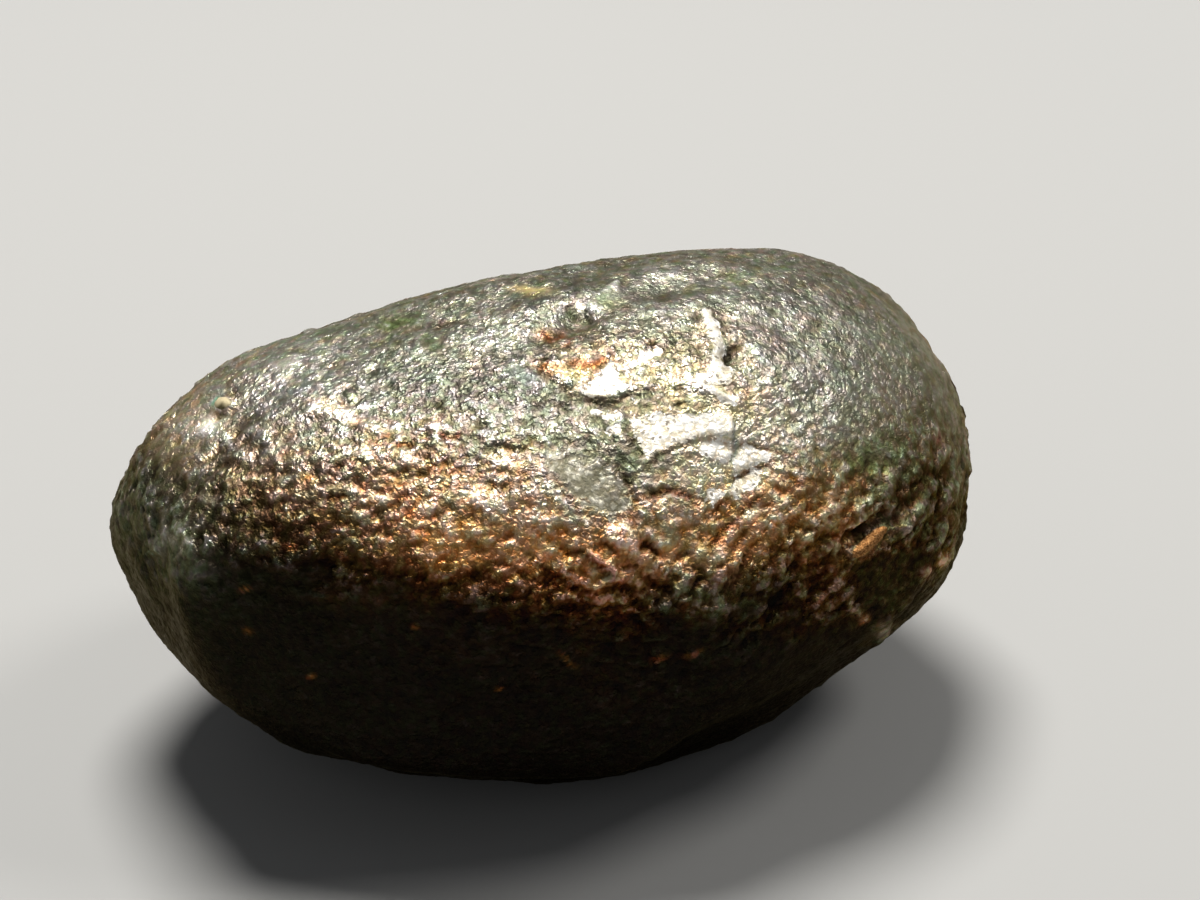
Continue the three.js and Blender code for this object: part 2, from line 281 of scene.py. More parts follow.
def cells(p, seed):
    """Distances to the two nearest scattered points, and a random number of the nearest."""
    i = np.floor(p).astype(np.int64)
    f1 = np.full(len(p), 9.0)
    f2 = np.full(len(p), 9.0)
    rnd = np.zeros(len(p))
    for dx in (-1, 0, 1):
        for dy in (-1, 0, 1):
            for dz in (-1, 0, 1):
                c = i + np.array([dx, dy, dz])
                h = _hash(c[:, 0], c[:, 1], c[:, 2], seed)
                q = c + np.stack([_unit(h, 0), _unit(h, 1), _unit(h, 2)], 1)
                d = np.linalg.norm(p - q, axis=1)
                closer = d < f1
                f2 = np.where(closer, f1, np.minimum(f2, d))
                rnd = np.where(closer, _unit(_hash(c[:, 0], c[:, 1], c[:, 2], seed + 91), 1), rnd)
                f1 = np.where(closer, d, f1)
    return f1, f2, rnd


def smooth(a, b, x):
    t = np.clip((x - a) / (b - a), 0, 1)
    return t * t * (3 - 2 * t)


def mix(a, b, t):
    if np.ndim(a) == 2 or np.ndim(b) == 2 or (np.ndim(a) == 1 and len(a) == 3):
        t = t[:, None]
    return a * (1 - t) + b * t


# ---------------------------------------------- places on the front of the lump
# Each vertex's place on a flat 1200 by 900 sheet in front of the lump, at 24
# units to the millimetre; marks on the front are laid out on it.
_d = P0 - (CAM - CENTRE)
_z = -(_d @ BACK)
SX = VIEW_W / 2 + FOCAL * (_d @ RIGHT) / _z
SY = VIEW_H / 2 - FOCAL * (_d @ UP) / _z
FACING = (N0 * -_d).sum(1) / np.linalg.norm(_d, axis=1)
FRONT = smooth(0.02, 0.14, FACING)
# marks wander a little from the drawn lines, as breaks in stone do
TRUE_SX, TRUE_SY = SX, SY
SX = SX + 3.2 * noise(P0 / 0.85, 301) + 1.5 * noise(P0 / 0.35, 302)
SY = SY + 3.2 * noise(P0 / 0.85, 303) + 1.5 * noise(P0 / 0.35, 304)


def line_at(points):
    """Signed distance from a line on the front sheet (positive on its left when
    followed, sheet y down) and how far along it, 0 to 1."""
    pts = np.array(points, float)
    seg = np.linalg.norm(np.diff(pts, axis=0), axis=1)
    start = np.r_[0, np.cumsum(seg)]
    best = np.full(len(SX), 1e9)
    sign = np.ones(len(SX))
    along = np.zeros(len(SX))
    for m in range(len(seg)):
        ax, ay = pts[m]
        tx, ty = (pts[m + 1] - pts[m]) / seg[m]
        dx, dy = SX - ax, SY - ay
        t = np.clip(dx * tx + dy * ty, 0, seg[m])
        ex, ey = dx - t * tx, dy - t * ty
        d = np.hypot(ex, ey)
        closer = d < best
        best = np.where(closer, d, best)
        sign = np.where(closer, np.where(tx * dy - ty * dx < 0, 1.0, -1.0), sign)
        along = np.where(closer, (start[m] + t) / start[-1], along)
    return best * sign, along


def ends(t, soft=0.18):
    return smooth(0, soft, t) * smooth(0, soft, 1 - t)


def groove(points, width, depth, soft=0.18):
    d, t = line_at(points)
    return -depth * np.exp(-(d / width) ** 2) * ends(t, soft) * FRONT


def step(points, height, width=3.0, reach=26.0, soft=0.18):
    """A ledge: the left side of the line stands height above the right side."""
    d, t = line_at(points)
    return height * (smooth(-width, width, d) - 0.5) * np.exp(-(np.abs(d) / reach) ** 1.5) * ends(t, soft) * FRONT


def oval(x, y, rx, ry, angle=0.0, power=2.0):
    """1 in the middle of an oval on the sheet, 0 outside it, on the front and the back."""
    a = math.radians(angle)
    dx, dy = SX - x, SY - y
    u = (dx * math.cos(a) + dy * math.sin(a)) / rx
    v = (-dx * math.sin(a) + dy * math.cos(a)) / ry
    return np.exp(-(np.hypot(u, v) ** power))


def spot(x, y, rx, ry, angle=0.0, power=2.0):
    """1 in the middle of an oval on the front sheet, 0 outside it."""
    return oval(x, y, rx, ry, angle, power) * FRONT


def patch_distance(points):
    """Signed distance to the edge of a many-sided patch on the front sheet,
    positive inside, and far below zero on the back of the stone."""
    pts = np.array(points, float)
    inside = np.zeros(len(SX), bool)
    dist = np.full(len(SX), 1e9)
    for (ax, ay), (bx, by) in zip(pts, np.roll(pts, -1, axis=0)):
        cross = ((ay > SY) != (by > SY)) & (SX < (bx - ax) * (SY - ay) / (by - ay + 1e-9) + ax)
        inside ^= cross
        L = math.hypot(bx - ax, by - ay)
        t = np.clip(((SX - ax) * (bx - ax) + (SY - ay) * (by - ay)) / (L * L), 0, 1)
        dist = np.minimum(dist, np.hypot(SX - ax - t * (bx - ax), SY - ay - t * (by - ay)))
    return np.where(FACING > 0.05, np.where(inside, dist, -dist), -60.0)


def patch(points, soft=3.0):
    """1 inside a many-sided patch on the front sheet, fading over soft units."""
    return smooth(-soft, soft, patch_distance(points)) * FRONT


def oval_distance(x, y, rx, ry, angle=0.0):
    a = math.radians(angle)
    dx, dy = SX - x, SY - y
    u = (dx * math.cos(a) + dy * math.sin(a)) / rx
    v = (-dx * math.sin(a) + dy * math.cos(a)) / ry
    k = np.hypot(u, v)
    g = np.hypot(u / rx, v / ry) / np.maximum(k, 1e-6)
    return np.where(FACING > 0.05, (1 - k) / np.maximum(g, 1e-6), -60.0)


# ------------------------------------------------------------ relief of the ore
# Height (mm) to add along the normal of the smooth lump.
P = P0
NZ = N0[:, 2]
H = np.zeros(len(P))


def drift(p, seed):
    return np.stack([noise(p, seed), noise(p, seed + 1), noise(p, seed + 2)], 1)


def domes(p, seed, fill=0.75):
    """Packed rounded grains with sharp valleys between them, 0 to 1."""
    f1, f2, rnd = cells(p, seed)
    return np.sqrt(np.clip(1 - (f1 / fill) ** 2, 0, 1)) * (0.45 + 0.55 * rnd), rnd


def plates(p, seed, firm=7.0):
    """Packed flat-faced grains, each leaning its own way, about -1 to 1."""
    i = np.floor(p).astype(np.int64)
    top, low = np.zeros(len(p)), np.full(len(p), 1e-9)
    for dx in (-1, 0, 1):
        for dy in (-1, 0, 1):
            for dz in (-1, 0, 1):
                c = i + np.array([dx, dy, dz])
                h = _hash(c[:, 0], c[:, 1], c[:, 2], seed)
                v = p - c - np.stack([_unit(h, 0), _unit(h, 1), _unit(h, 2)], 1)
                w = np.exp(-firm * (v ** 2).sum(1))
                k = _hash(c[:, 0], c[:, 1], c[:, 2], seed + 57)
                lean = np.stack([_unit(k, 0), _unit(k, 1), _unit(k, 2)], 1) * 2 - 1
                rest = _unit(_hash(c[:, 0], c[:, 1], c[:, 2], seed + 91), 1) * 2 - 1
                top += w * (0.5 * rest + 1.1 * (lean * v).sum(1))
                low += w
    return top / low


# the belt round the shoulder, where the ore is coarse and lumpy; it is calmer
# on the worn top and near the wide end
wander = 0.22 * noise(P / 4.5, 5) + 0.10 * noise(P / 1.7, 6)
# the shore is drawn where the light gives out on the front; below it the underside is painted in shade
shore_d, shore_t = line_at([(60, 412), (120, 455), (180, 502), (240, 528), (330, 546), (430, 580), (560, 612), (640, 624), (690, 614), (780, 602), (850, 594),
                            (905, 590), (960, 560), (1020, 520)])
# round the narrow end the front's colours fade out slowly towards the back
WRAP = mix(FRONT, smooth(-0.45, 0.14, FACING + 0.10 * noise(P / 1.5, 97)), smooth(-12.5, -14.5, P[:, 0]))
LEVEL = mix(NZ, 0.12 + shore_d / 165.0, 0.85 * WRAP)     # 0.1 at the shore of the dark underside, 0.7 and up on top
belt = smooth(0.92, 0.55, LEVEL + wander) * smooth(-0.45, 0.0, LEVEL + wander)
calm_end = smooth(6, 15, P[:, 0]) * smooth(-0.1, 0.5, NZ)
rough = 0.72 + 0.60 * belt - 0.20 * calm_end

worn = smooth(-13, -9, P[:, 0]) * smooth(0.5, -3.5, P[:, 0]) * FRONT * smooth(0.0, 0.3, LEVEL)
# lumps and dimples of a millimetre or two
Q = P + 0.6 * drift(P / 2.1, 11)
low = smooth(0.44, 0.30, LEVEL) * smooth(-0.04, 0.06, LEVEL) * FRONT * smooth(-9, -5, P[:, 0]) * smooth(13, 9, P[:, 0])
H += 0.080 * rough * (1 - 0.35 * worn) * (1 + 0.45 * low) * fbm(Q * np.array([0.50, 0.55, 0.85]), 21, 2, 0.5)

# which way the grain of the ore runs: along the stone on the left and behind,
# down to the right in the middle, up to the right beyond it
mid_w = smooth(0.30, 0.55, np.exp(-((P[:, 0] + 0.2) / 3.4) ** 2) + 0.12 * noise(P / 1.5, 31))
right_w = smooth(0.35, 0.65, smooth(2.0, 5.5, P[:, 0]) + 0.12 * noise(P / 1.5, 32)) * (1 - mid_w)
quiet_left = 0.42 * smooth(-3.5, -8.0, P[:, 0]) * FRONT


# grains are half as long again fore and aft, up to the front
GRAIN_WAY = BACK
PG = P - 0.38 * np.outer(P @ GRAIN_WAY, GRAIN_WAY)


def three_ways(make):
    """A field of grains drawn out three ways, each where it belongs."""
    total = np.zeros(len(P))
    for angle, w in ((-0.10, 1 - mid_w - right_w), (-0.50, mid_w), (0.45, right_w)):
        ca, sa = math.cos(angle), math.sin(angle)
        q = np.stack([PG[:, 0] * ca + PG[:, 2] * sa, PG[:, 1], -PG[:, 0] * sa + PG[:, 2] * ca], 1)
        use = w > 0.001
        total[use] += w[use] * make(q[use])
    return total


def long_grains(scale, wobble, reach, seed):
    return three_ways(lambda q: plates(q * np.array(scale) + wobble * drift(q / reach, seed), seed + 3))


# coarse grains, drawn out along the grain of the ore
d1 = long_grains((1.0, 1.0, 1.9), 0.55, 0.8, 41)
d2 = long_grains((2.1, 1.9, 3.3), 0.40, 0.45, 47)
d3 = domes(PG * 3.1 + 0.2 * drift(PG / 0.3, 53), 56)[0]
H += 0.086 * rough * (1 - quiet_left) * (1 - 0.30 * worn) * (0.45 + 0.55 * belt) * d1
H += 0.054 * rough * (1 - quiet_left) * d2
H += 0.036 * (0.6 + 0.4 * rough) * (d3 - 0.45)
# thin creases
crease = three_ways(lambda q: smooth(0.84, 1.0, 1.0 - np.abs(fbm(q * np.array([0.50, 0.75, 1.25]) + 0.35 * drift(q / 1.6, 59), 62, 2, 0.5))))
H -= 0.145 * (1 - quiet_left) * (1 - 0.35 * worn) * crease * belt

# pits of a few tenths of a millimetre
f1, f2, rnd = cells(P / 1.15, 51)
pit = smooth(0.26, 0.12, f1) * (rnd > 0.68)
H -= 0.12 * pit * (0.5 + 0.5 * belt)

# ---- the fresh break on the upper front
FRACTURE = patch([(538, 352), (575, 335), (640, 330), (700, 312), (735, 330), (762, 372), (800, 400), (790, 455), (745, 490),
                  (690, 480), (645, 462), (620, 430), (585, 405), (548, 392)], 16)
H *= 1 - 0.16 * FRACTURE


def lie_flat(points, tilt_up=0.0, tilt_right=0.0, lift=0.0, soft=3.0, grain=0.45):
    """Break a patch off flat: a plane through the middle of the patch, leaning
    back (and to the right) from the skin around it by an angle in degrees."""
    global H
    d = patch_distance(points)
    m = smooth(-soft, soft, d)
    core = d > 0
    c = P0[core].mean(0)
    n = N0[core].mean(0)
    n /= np.linalg.norm(n)
    n = n + math.tan(math.radians(tilt_up)) * (UP - n * (UP @ n)) + math.tan(math.radians(tilt_right)) * (RIGHT - n * (RIGHT @ n))
    n /= np.linalg.norm(n)
    h = ((c - P0) @ n) / np.maximum(N0 @ n, 0.3) + lift
    H = H * (1 - m) + (h + grain * H) * m
    return d


# the broken faces have cleaner edges than the stains
WAVY = (SX, SY)
CLEAN = (TRUE_SX + 0.35 * (SX - TRUE_SX), TRUE_SY + 0.35 * (SY - TRUE_SY))
SX, SY = CLEAN
# ledges and hollows of the break
H += step([(540, 356), (552, 378), (572, 392), (590, 399), (612, 401), (640, 391), (664, 385)], 0.15, 2.4, 22)
H += step([(664, 384), (690, 389), (714, 398), (738, 404)], 0.12, 2.2, 12)
GLEAM_PTS = [(582, 383), (592, 379), (600, 377), (603, 367), (611, 362), (617, 371), (623, 382), (619, 392), (609, 399), (596, 399), (586, 393)]
STREAK_PTS = [(619, 367), (634, 359), (648, 352), (660, 348), (664, 352), (652, 359), (638, 366), (625, 372)]
SLAB_PTS = [(632, 420), (645, 416), (660, 412), (680, 411), (700, 413), (718, 415), (731, 416), (734, 426), (732, 437), (714, 437),
            (696, 438), (676, 444), (647, 455), (640, 442), (635, 430)]
BLOCK_PTS = [(737, 447), (755, 446), (777, 452), (768, 460), (752, 467), (741, 474), (733, 476), (736, 460)]
BLOCK2_PTS = [(734, 480), (750, 473), (762, 468), (758, 479), (748, 491), (736, 498), (728, 495)]
BLOCK3_PTS = [(706, 489), (720, 486), (723, 497), (713, 506), (706, 501)]
CHIP_PTS = [(700, 442), (716, 440), (730, 441), (731, 455), (726, 463), (712, 458), (698, 453)]
CHIP2_PTS = [(606, 426), (618, 424), (622, 434), (611, 437)]
WEDGE_PTS = [(617, 412), (627, 416), (635, 428), (643, 446), (645, 459), (636, 457), (627, 442), (619, 428)]
RIDGE_PTS = [(702, 308), (710, 310), (718, 326), (722, 345), (723, 362), (733, 372), (730, 384), (711, 384), (710, 366), (713, 350), (709, 335), (703, 321)]
ARC_PTS = [(694, 374), (706, 376), (718, 385), (728, 394), (739, 400), (736, 407), (722, 401), (709, 391), (697, 381)]
d_gleam = lie_flat(GLEAM_PTS, 5, -2, 0.02, 2.5, 0.6)
d_streak = lie_flat(STREAK_PTS, 4, 0, 0.02)
d_slab = lie_flat(SLAB_PTS, 4, -3, 0.0, 2.5, 0.5)
d_wedge = lie_flat(WEDGE_PTS, -4, 8, -0.05, 3.0, 0.7)
d_block = lie_flat(BLOCK_PTS, 11, 0, 0.02)
d_block2 = lie_flat(BLOCK2_PTS, 11, 0, 0.02)
d_block3 = lie_flat(BLOCK3_PTS, 9, 0, 0.01)
d_chip = lie_flat(CHIP_PTS, 11, 0, 0.01)
d_chip2 = lie_flat(CHIP2_PTS, 5, 0, 0.01)
d_chip3 = lie_flat([(592, 411), (604, 409), (619, 415), (615, 420), (602, 417)], 5, 0, 0.01)
d_arc = patch_distance(ARC_PTS)
d_ridge = patch_distance(RIDGE_PTS)
H += 0.09 * smooth(-1.5, 1.5, d_ridge)
H += 0.06 * smooth(-2, 2, d_arc)
H += groove([(735, 418), (733, 434), (735, 456), (729, 468)], 1.8, 0.05)
H += groove([(735, 445), (754, 444), (778, 450)], 1.8, 0.06)
H += groove([(731, 479), (750, 471), (765, 463)], 1.8, 0.09)
H += groove([(648, 459), (676, 449), (700, 441)], 2.2, 0.08)
H += groove([(612, 470), (622, 478), (630, 487)], 3.0, 0.04)
H += groove([(584, 394), (597, 402), (607, 405), (618, 400), (638, 388)], 2.0, 0.13)
H -= 0.08 * spot(618, 468, 15, 26, -35, 1)
# dark arc below the break, with a swelling under it
H += groove([(641, 502), (645, 496), (659, 491), (672, 491), (686, 494), (700, 500)], 2.0, 0.11)
H += 0.06 * spot(662, 507, 18, 6)
# slanting creases, lower right of the break
SX, SY = WAVY
SLANTING = (([(704, 556), (722, 530), (768, 488)], .17), ([(690, 530), (716, 512), (742, 482)], .12), ([(726, 560), (748, 532), (762, 520)], .14),
            ([(742, 470), (770, 462), (806, 470)], .12), ([(760, 556), (784, 540), (832, 524)], .13), ([(668, 556), (700, 548), (722, 536)], .14),
            ([(744, 512), (758, 504), (780, 502)], .12), ([(776, 520), (790, 506), (812, 500)], .10), ([(784, 486), (812, 480), (842, 492)], .10))
for pts, dep in SLANTING:
    H += groove(pts, 2.3, dep * 0.62, 0.35)
# creases falling to the right, lower middle
FALLING = ([(560, 548), (590, 556), (632, 592)], [(520, 548), (552, 574), (600, 604)], [(480, 560), (520, 572), (560, 596)],
           [(612, 545), (634, 562), (650, 588)], [(575, 530), (602, 540), (622, 556)], [(540, 536), (566, 552), (598, 580)])
for pts in FALLING:
    H += groove(pts, 2.6, 0.10, 0.3)
H += 0.22 * np.exp(-(line_at([(578, 546), (594, 556), (612, 571), (628, 590)])[0] / 3.4) ** 2) * ends(line_at([(578, 546), (594, 556), (612, 571), (628, 590)])[1]) * FRONT
d_lump = patch_distance([(604, 530), (616, 523), (626, 528), (640, 544), (649, 562), (641, 566), (624, 558), (609, 542)])
H += 0.16 * smooth(-3, 5, d_lump)
H += groove([(640, 543), (652, 549), (664, 556)], 3.0, 0.20)
H += 0.16 * spot(660, 545, 6, 4)
# left half: long shallow creases
for pts in ([(236, 470), (268, 476), (305, 470)], [(250, 505), (290, 500), (330, 512)], [(330, 540), (372, 532), (420, 545)],
            [(372, 470), (402, 478), (440, 474)], [(418, 520), (450, 512), (492, 524)], [(436, 433), (452, 437), (466, 433)],
            [(345, 505), (380, 512), (402, 506)], [(470, 480), (505, 490), (530, 486)], [(300, 560), (345, 566), (392, 580)],
            [(452, 548), (486, 552), (512, 566)], [(200, 470), (226, 462), (250, 468)], [(392, 448), (404, 444), (414, 448)],
            [(326, 494), (338, 498), (350, 494)], [(486, 452), (500, 448), (516, 452)]):
    H += groove(pts, 2.3, 0.09, 0.3)
# flat shining faces between them
for x, y, rx, ry, a in ((368, 424, 11, 6, 10), (378, 498, 12, 5, 8), (362, 452, 13, 4.5, -5), (407, 460, 8, 5, 30), (433, 427, 8, 5, 0),
                        (510, 461, 15, 7, 5), (484, 500, 20, 9, 15), (450, 532, 7, 3.5, 5), (427, 507, 10, 5, 25), (323, 408, 16, 9, 0),
                        (210, 500, 9, 5, 15), (345, 415, 9, 6, 20)):
    m = spot(x, y, rx * 1.15, ry * 1.15, a, 4)
    H += m * (0.04 + 0.07 * ((SY - y) / 8.0).clip(-1, 1)) * FRONT

# ---- quartz vein: a smooth band from the upper left of the break down to the right
VEIN_PTS = [(496, 366), (512, 362), (530, 372), (546, 384), (572, 390), (590, 410), (612, 436), (616, 458), (630, 490), (630, 512), (614, 520),
            (594, 510), (566, 490), (548, 468), (552, 444), (574, 446), (590, 450), (586, 432), (570, 408), (548, 396), (524, 386), (503, 376)]
d_vein = patch_distance(VEIN_PTS)
d_vein2 = patch_distance([(546, 448), (568, 452), (596, 456), (613, 474), (629, 491), (629, 512), (614, 520), (594, 511), (566, 491), (549, 470)])
VEIN = smooth(-4, 5, d_vein)
H = mix(H, H * 0.62 + 0.01, 0.75 * VEIN)
H += groove([(590, 412), (604, 428), (613, 442)], 2.6, 0.14)
H += groove([(610, 454), (620, 470), (633, 494), (639, 516)], 2.6, 0.09)
H += groove([(534, 360), (543, 374), (549, 384)], 2.4, 0.14)

# ---- notch with crystals near the top
H += groove([(563, 306), (572, 316), (580, 323), (588, 325), (597, 320)], 2.6, 0.10)
d_crystal = lie_flat([(570, 304), (580, 300), (591, 303), (586, 313), (576, 313)], 4, 0, 0.05)
d_quartz = lie_flat([(590, 301), (602, 290), (618, 284), (622, 300), (606, 312), (592, 318), (588, 312)], -4, 6, 0.08, 3.0, 0.4)
# ---- vug beside the bright ridge
SX, SY = CLEAN
d_vug = patch_distance([(724, 367), (723, 357), (727, 350), (731, 349), (730, 358), (728, 366)])
H -= 0.16 * smooth(-2, 3, d_vug) + 0.05 * spot(736, 347, 8, 5, -40, 3)
HOLES = ((652, 342, 3.6, .10), (697, 315, 4.0, .12), (612, 368, 2.6, .08), (679, 405, 3.8, .10), (646, 425, 2.8, .08), (544, 358, 4.0, .12),
         (178, 480, 8, .12), (311, 392, 3.2, .08), (440, 404, 5, .05))
for x, y, r, dep in HOLES:
    H -= dep * spot(x, y, r, r * 0.8, 0, 2)

# ---- copper bleb in its slit
SX, SY = TRUE_SX, TRUE_SY
d_slit = patch_distance([(853, 533), (868, 523), (884, 515), (897, 512), (899, 518), (890, 526), (874, 534), (858, 545)])
SLIT = smooth(-2.0, 3.0, d_slit)
H -= 0.07 * SLIT
d_bleb = oval_distance(869.0, 542.0, 23.0, 6.8, -42)
BLEB = smooth(-2.0, 2.5, d_bleb)
H = mix(H, 0.13 + 0.25 * H, BLEB)
H += 0.012 * BLEB * noise(P * 2.5, 77)
SX, SY = WAVY
rim_d, rim_t = line_at([(903, 530), (913, 522), (922, 510), (926, 496)])
RIM = np.exp(-(rim_d / 4.5) ** 2) * ends(rim_t) * FRONT
H += 0.09 * RIM
# smooth hollow flat under it, and the lumpy lip below
FLAT = patch([(852, 560), (886, 556), (940, 548), (946, 570), (922, 598), (890, 612), (862, 600)], 9.0)
H = mix(H, H * 0.22 - 0.04, 0.9 * FLAT)
H += 0.13 * spot(882, 630, 12, 7, -30) + 0.12 * spot(864, 618, 6, 4)
lip_d, lip_t = line_at([(847, 597), (854, 607), (862, 617)])
H += 0.12 * np.exp(-(lip_d / 3.0) ** 2) * ends(lip_t) * FRONT
H += 0.16 * spot(943, 559, 9, 4, -55) + 0.12 * spot(925, 572, 6, 5)

# ---- cream grain, dark bead and smooth scales at the narrow end
SX, SY = CLEAN
d_grain = oval_distance(224, 405, 9.5, 6.2, -18)
GRAIN = smooth(-2.0, 3.0, d_grain)
H += 0.20 * GRAIN
H -= 0.12 * spot(220, 416, 9, 3.0, -10)
H -= 0.16 * spot(221.5, 408, 4.2, 3.6, -15)
d_bead = oval_distance(350, 396, 8.2, 7.2, 0)
BEAD = smooth(-1.8, 1.8, d_bead)
H += 0.09 * BEAD - 0.12 * (smooth(-5, -1, d_bead) - BEAD)
SX, SY = WAVY
SCALE_A = patch([(268, 366), (284, 357), (302, 357), (299, 366), (276, 373)], 4.0)
H = mix(H, H * 0.3 + 0.05, SCALE_A)
SCALE_B = patch([(160, 512), (176, 505), (196, 516), (192, 548), (180, 572), (170, 548)], 4.0)
H = mix(H, H * 0.8, SCALE_B)

# painted shade gathers in the hollows and on the sides of the lumps turned from the key lamp
def spread_over(v, times):
    """Each vertex shared with its neighbours, over and over: a soft average."""
    a, b = QUADS.ravel(), np.roll(QUADS, -1, axis=1).ravel()
    count = np.bincount(a, minlength=len(v)) + np.bincount(b, minlength=len(v))
    for _ in range(times):
        v = 0.3 * v + 0.7 * (np.bincount(a, v[b], len(v)) + np.bincount(b, v[a], len(v))) / count
    return v


# the flat that it rests on and the outline stay true to the solid
UNDER = smooth(0.3, 1.4, P[:, 2] + 9.8)
H *= 0.2 + 0.8 * UNDER
PTS = P0 + N0 * H[:, None]
PTS[:, 2] = np.maximum(PTS[:, 2], -9.8)
# how far the relief turns each point towards the key lamp, used for painted light and shade
KEY_LAMP_TURN = (vertex_normals(PTS) - N0) @ np.array([-0.02, 0.29, 0.957])

# ------------------------------------------------------------- colour of the ore
def rgb(*c):
    """A colour given as screen values 0-255, made linear."""
    a = np.array(c, float) / 255
    return np.where(a <= 0.04045, a / 12.92, ((a + 0.055) / 1.055) ** 2.4)


def ramp(x, stops):
    out = np.tile(stops[0][1], (len(x), 1))
    for (x0, c0), (x1, c1) in zip(stops, stops[1:]):
        t = np.clip((x - x0) / (x1 - x0), 0, 1)
        out = mix(out, np.tile(c1, (len(x), 1)), t * (x > x0))
    return out


# worn silver-grey on top, bronze round the shoulder, near black below, the dark underside
# being painted shade; round the back the bronze comes and goes in patches
patchy = (0.34 * noise(P / 6.0, 65) + 0.26 * noise(P / 2.4, 60)) * (1 - FRONT)
tone = LEVEL + 0.13 * noise(P / 3.2, 61) + 0.12 * noise(P / 1.2, 62) + 0.06 * noise(P / 0.45, 67) + patchy
COL = ramp(tone, [(-0.35, rgb(20, 19, 9)), (-0.08, rgb(27, 23, 12)), (0.08, rgb(52, 40, 24)), (0.22, rgb(98, 77, 50)),
                  (0.40, rgb(154, 132, 103)), (0.58, rgb(176, 163, 143)), (0.72, rgb(176, 170, 154)), (0.90, rgb(161, 160, 147))])
warm = smooth(0.0, 0.7, noise(P / 1.8, 63)) * smooth(0.0, 0.25, tone) * smooth(0.80, 0.55, tone)
COL = mix(COL, COL * np.array([1.12, 0.94, 0.74]), warm * 0.7 * smooth(-17, -12, P[:, 0]))
# the bronze reaches further up in the hollows than on the crests
drop = shore_d + 22 * noise(P / 2.2, 68) + 12 * noise(P / 0.8, 69)
warmth = mix(smooth(0.80, 0.50, NZ + 0.3 * noise(P / 3.0, 68)), smooth(190, 88, drop), FRONT) * smooth(-17.5, -10.5, P[:, 0]) * smooth(18.5, 14, P[:, 0])
COL = COL * mix(np.tile([1.01, 0.992, 1.0], (len(P), 1)), np.tile([1.05, 0.97, 0.92], (len(P), 1)), warmth)
# rust-brown low on the left of the middle, golden beyond it
rust = smooth(110, 50, drop) * smooth(-11, -6, P[:, 0]) * smooth(3.0, -0.5, P[:, 0]) * FRONT
COL = COL * mix(np.ones((len(P), 3)), np.tile([1.07, 0.965, 0.78], (len(P), 1)), rust)
COL = COL * mix(np.ones((len(P), 3)), np.tile([1.0, 0.995, 0.82], (len(P), 1)), warmth * smooth(0.5, 4.0, P[:, 0]) * FRONT)
# less red towards the two ends of the shoulder
TINT = 0.04 + 0.90 * warmth * (1 - 0.50 * smooth(-7.5, -11.5, P[:, 0]) - 0.60 * spot(725, 572, 60, 36)) + 0.25 * spot(805, 480, 62, 50) + 0.45 * spot(820, 580, 46, 44) + 0.20 * spot(740, 505, 90, 26)
# round the back the painted shade of the underside is made lighter
COL = mix(COL, COL * (0.55 + 1.9 * smooth(0.1, -0.3, tone))[:, None] + rgb(30, 26, 18), 0.8 * (1 - FRONT) * smooth(0.12, -0.1, tone))
pink = smooth(0.1, 0.6, noise(P / 2.4, 64)) * smooth(0.1, 0.3, tone)
COL = mix(COL, COL * np.array([1.06, 0.95, 0.97]), pink)
cool = smooth(0.2, 0.7, noise(P / 3.1, 66)) * smooth(0.45, 0.75, tone)
COL = mix(COL, COL * np.array([0.86, 0.93, 0.86]), cool)

far = smooth(0.60, 0.20, FACING) * smooth(-0.30, 0.05, FACING)
mottle = (0.26 + 0.95 * far) * smooth(0.10, 0.45, tone)
PM = P - 0.60 * np.outer(P @ BACK, BACK)
COL = COL * (1 + mottle[:, None] * (np.outer(smooth(0.1, 0.55, noise(PM / 0.42, 91)), [0.10, 0.0, -0.22])
                                    + np.outer(smooth(0.1, 0.55, noise(PM / 0.38, 92)), [-0.14, 0.02, -0.16])
                                    + np.outer(smooth(0.15, 0.6, noise(PM / 0.36, 93)), [0.14, -0.05, -0.02])))
COL = COL * (1 + mottle * (0.26 * noise(PM / 0.34, 94) + 0.14 * noise(PM / 0.18, 95)))[:, None]

ROUGH = 0.405 + 0.06 * noise(P / 1.7, 71) - 0.03 * smooth(0.35, 0.20, tone) + 0.10 * smooth(0.10, -0.08, tone)
METAL = np.clip(0.94 - 0.06 * smooth(0.1, -0.15, tone), 0, 1)
quiet_right = (0.15 * smooth(1, 5, P[:, 0]) + 0.15 * smooth(9, 14, P[:, 0])) * smooth(0.2, 0.6, NZ) + 0.32 * spot(690, 292, 110, 34) + 0.25 * smooth(14.5, 17, P[:, 0])
near_edge = smooth(0.60, 0.20, FACING)
quiet_right = np.maximum(quiet_right, (0.08 + 0.14 * smooth(0, 6, P[:, 0])) * near_edge * FRONT * smooth(0.0, 0.4, NZ))
CONTRAST = 0.94 * (1.0 - 0.45 * smooth(0.12, -0.10, tone)) * (1 - 0.3 * quiet_left) * (1 - quiet_right)
low_belt = smooth(0.38, 0.22, tone) * smooth(-0.05, 0.08, tone)
CONTRAST = CONTRAST * (1 + 0.15 * low_belt)
BUMP = (1.0 + 0.35 * low_belt - 0.15 * smooth(0.1, -0.15, tone)) * (1 - 0.5 * quiet_left) * (1 - quiet_right)
calm = FRONT * smooth(5.0, 2.0, P[:, 0]) * np.maximum(smooth(0.30, 0.45, tone), smooth(-4, -7, P[:, 0]) * smooth(0.05, 0.20, tone))
CONTRAST = CONTRAST * (1 - 0.12 * calm)
BUMP = BUMP * (1 - 0.20 * calm)
COL = COL * (1 - 0.13 * calm * smooth(-9, -6, P[:, 0]) * smooth(0.42, 0.58, tone))[:, None]


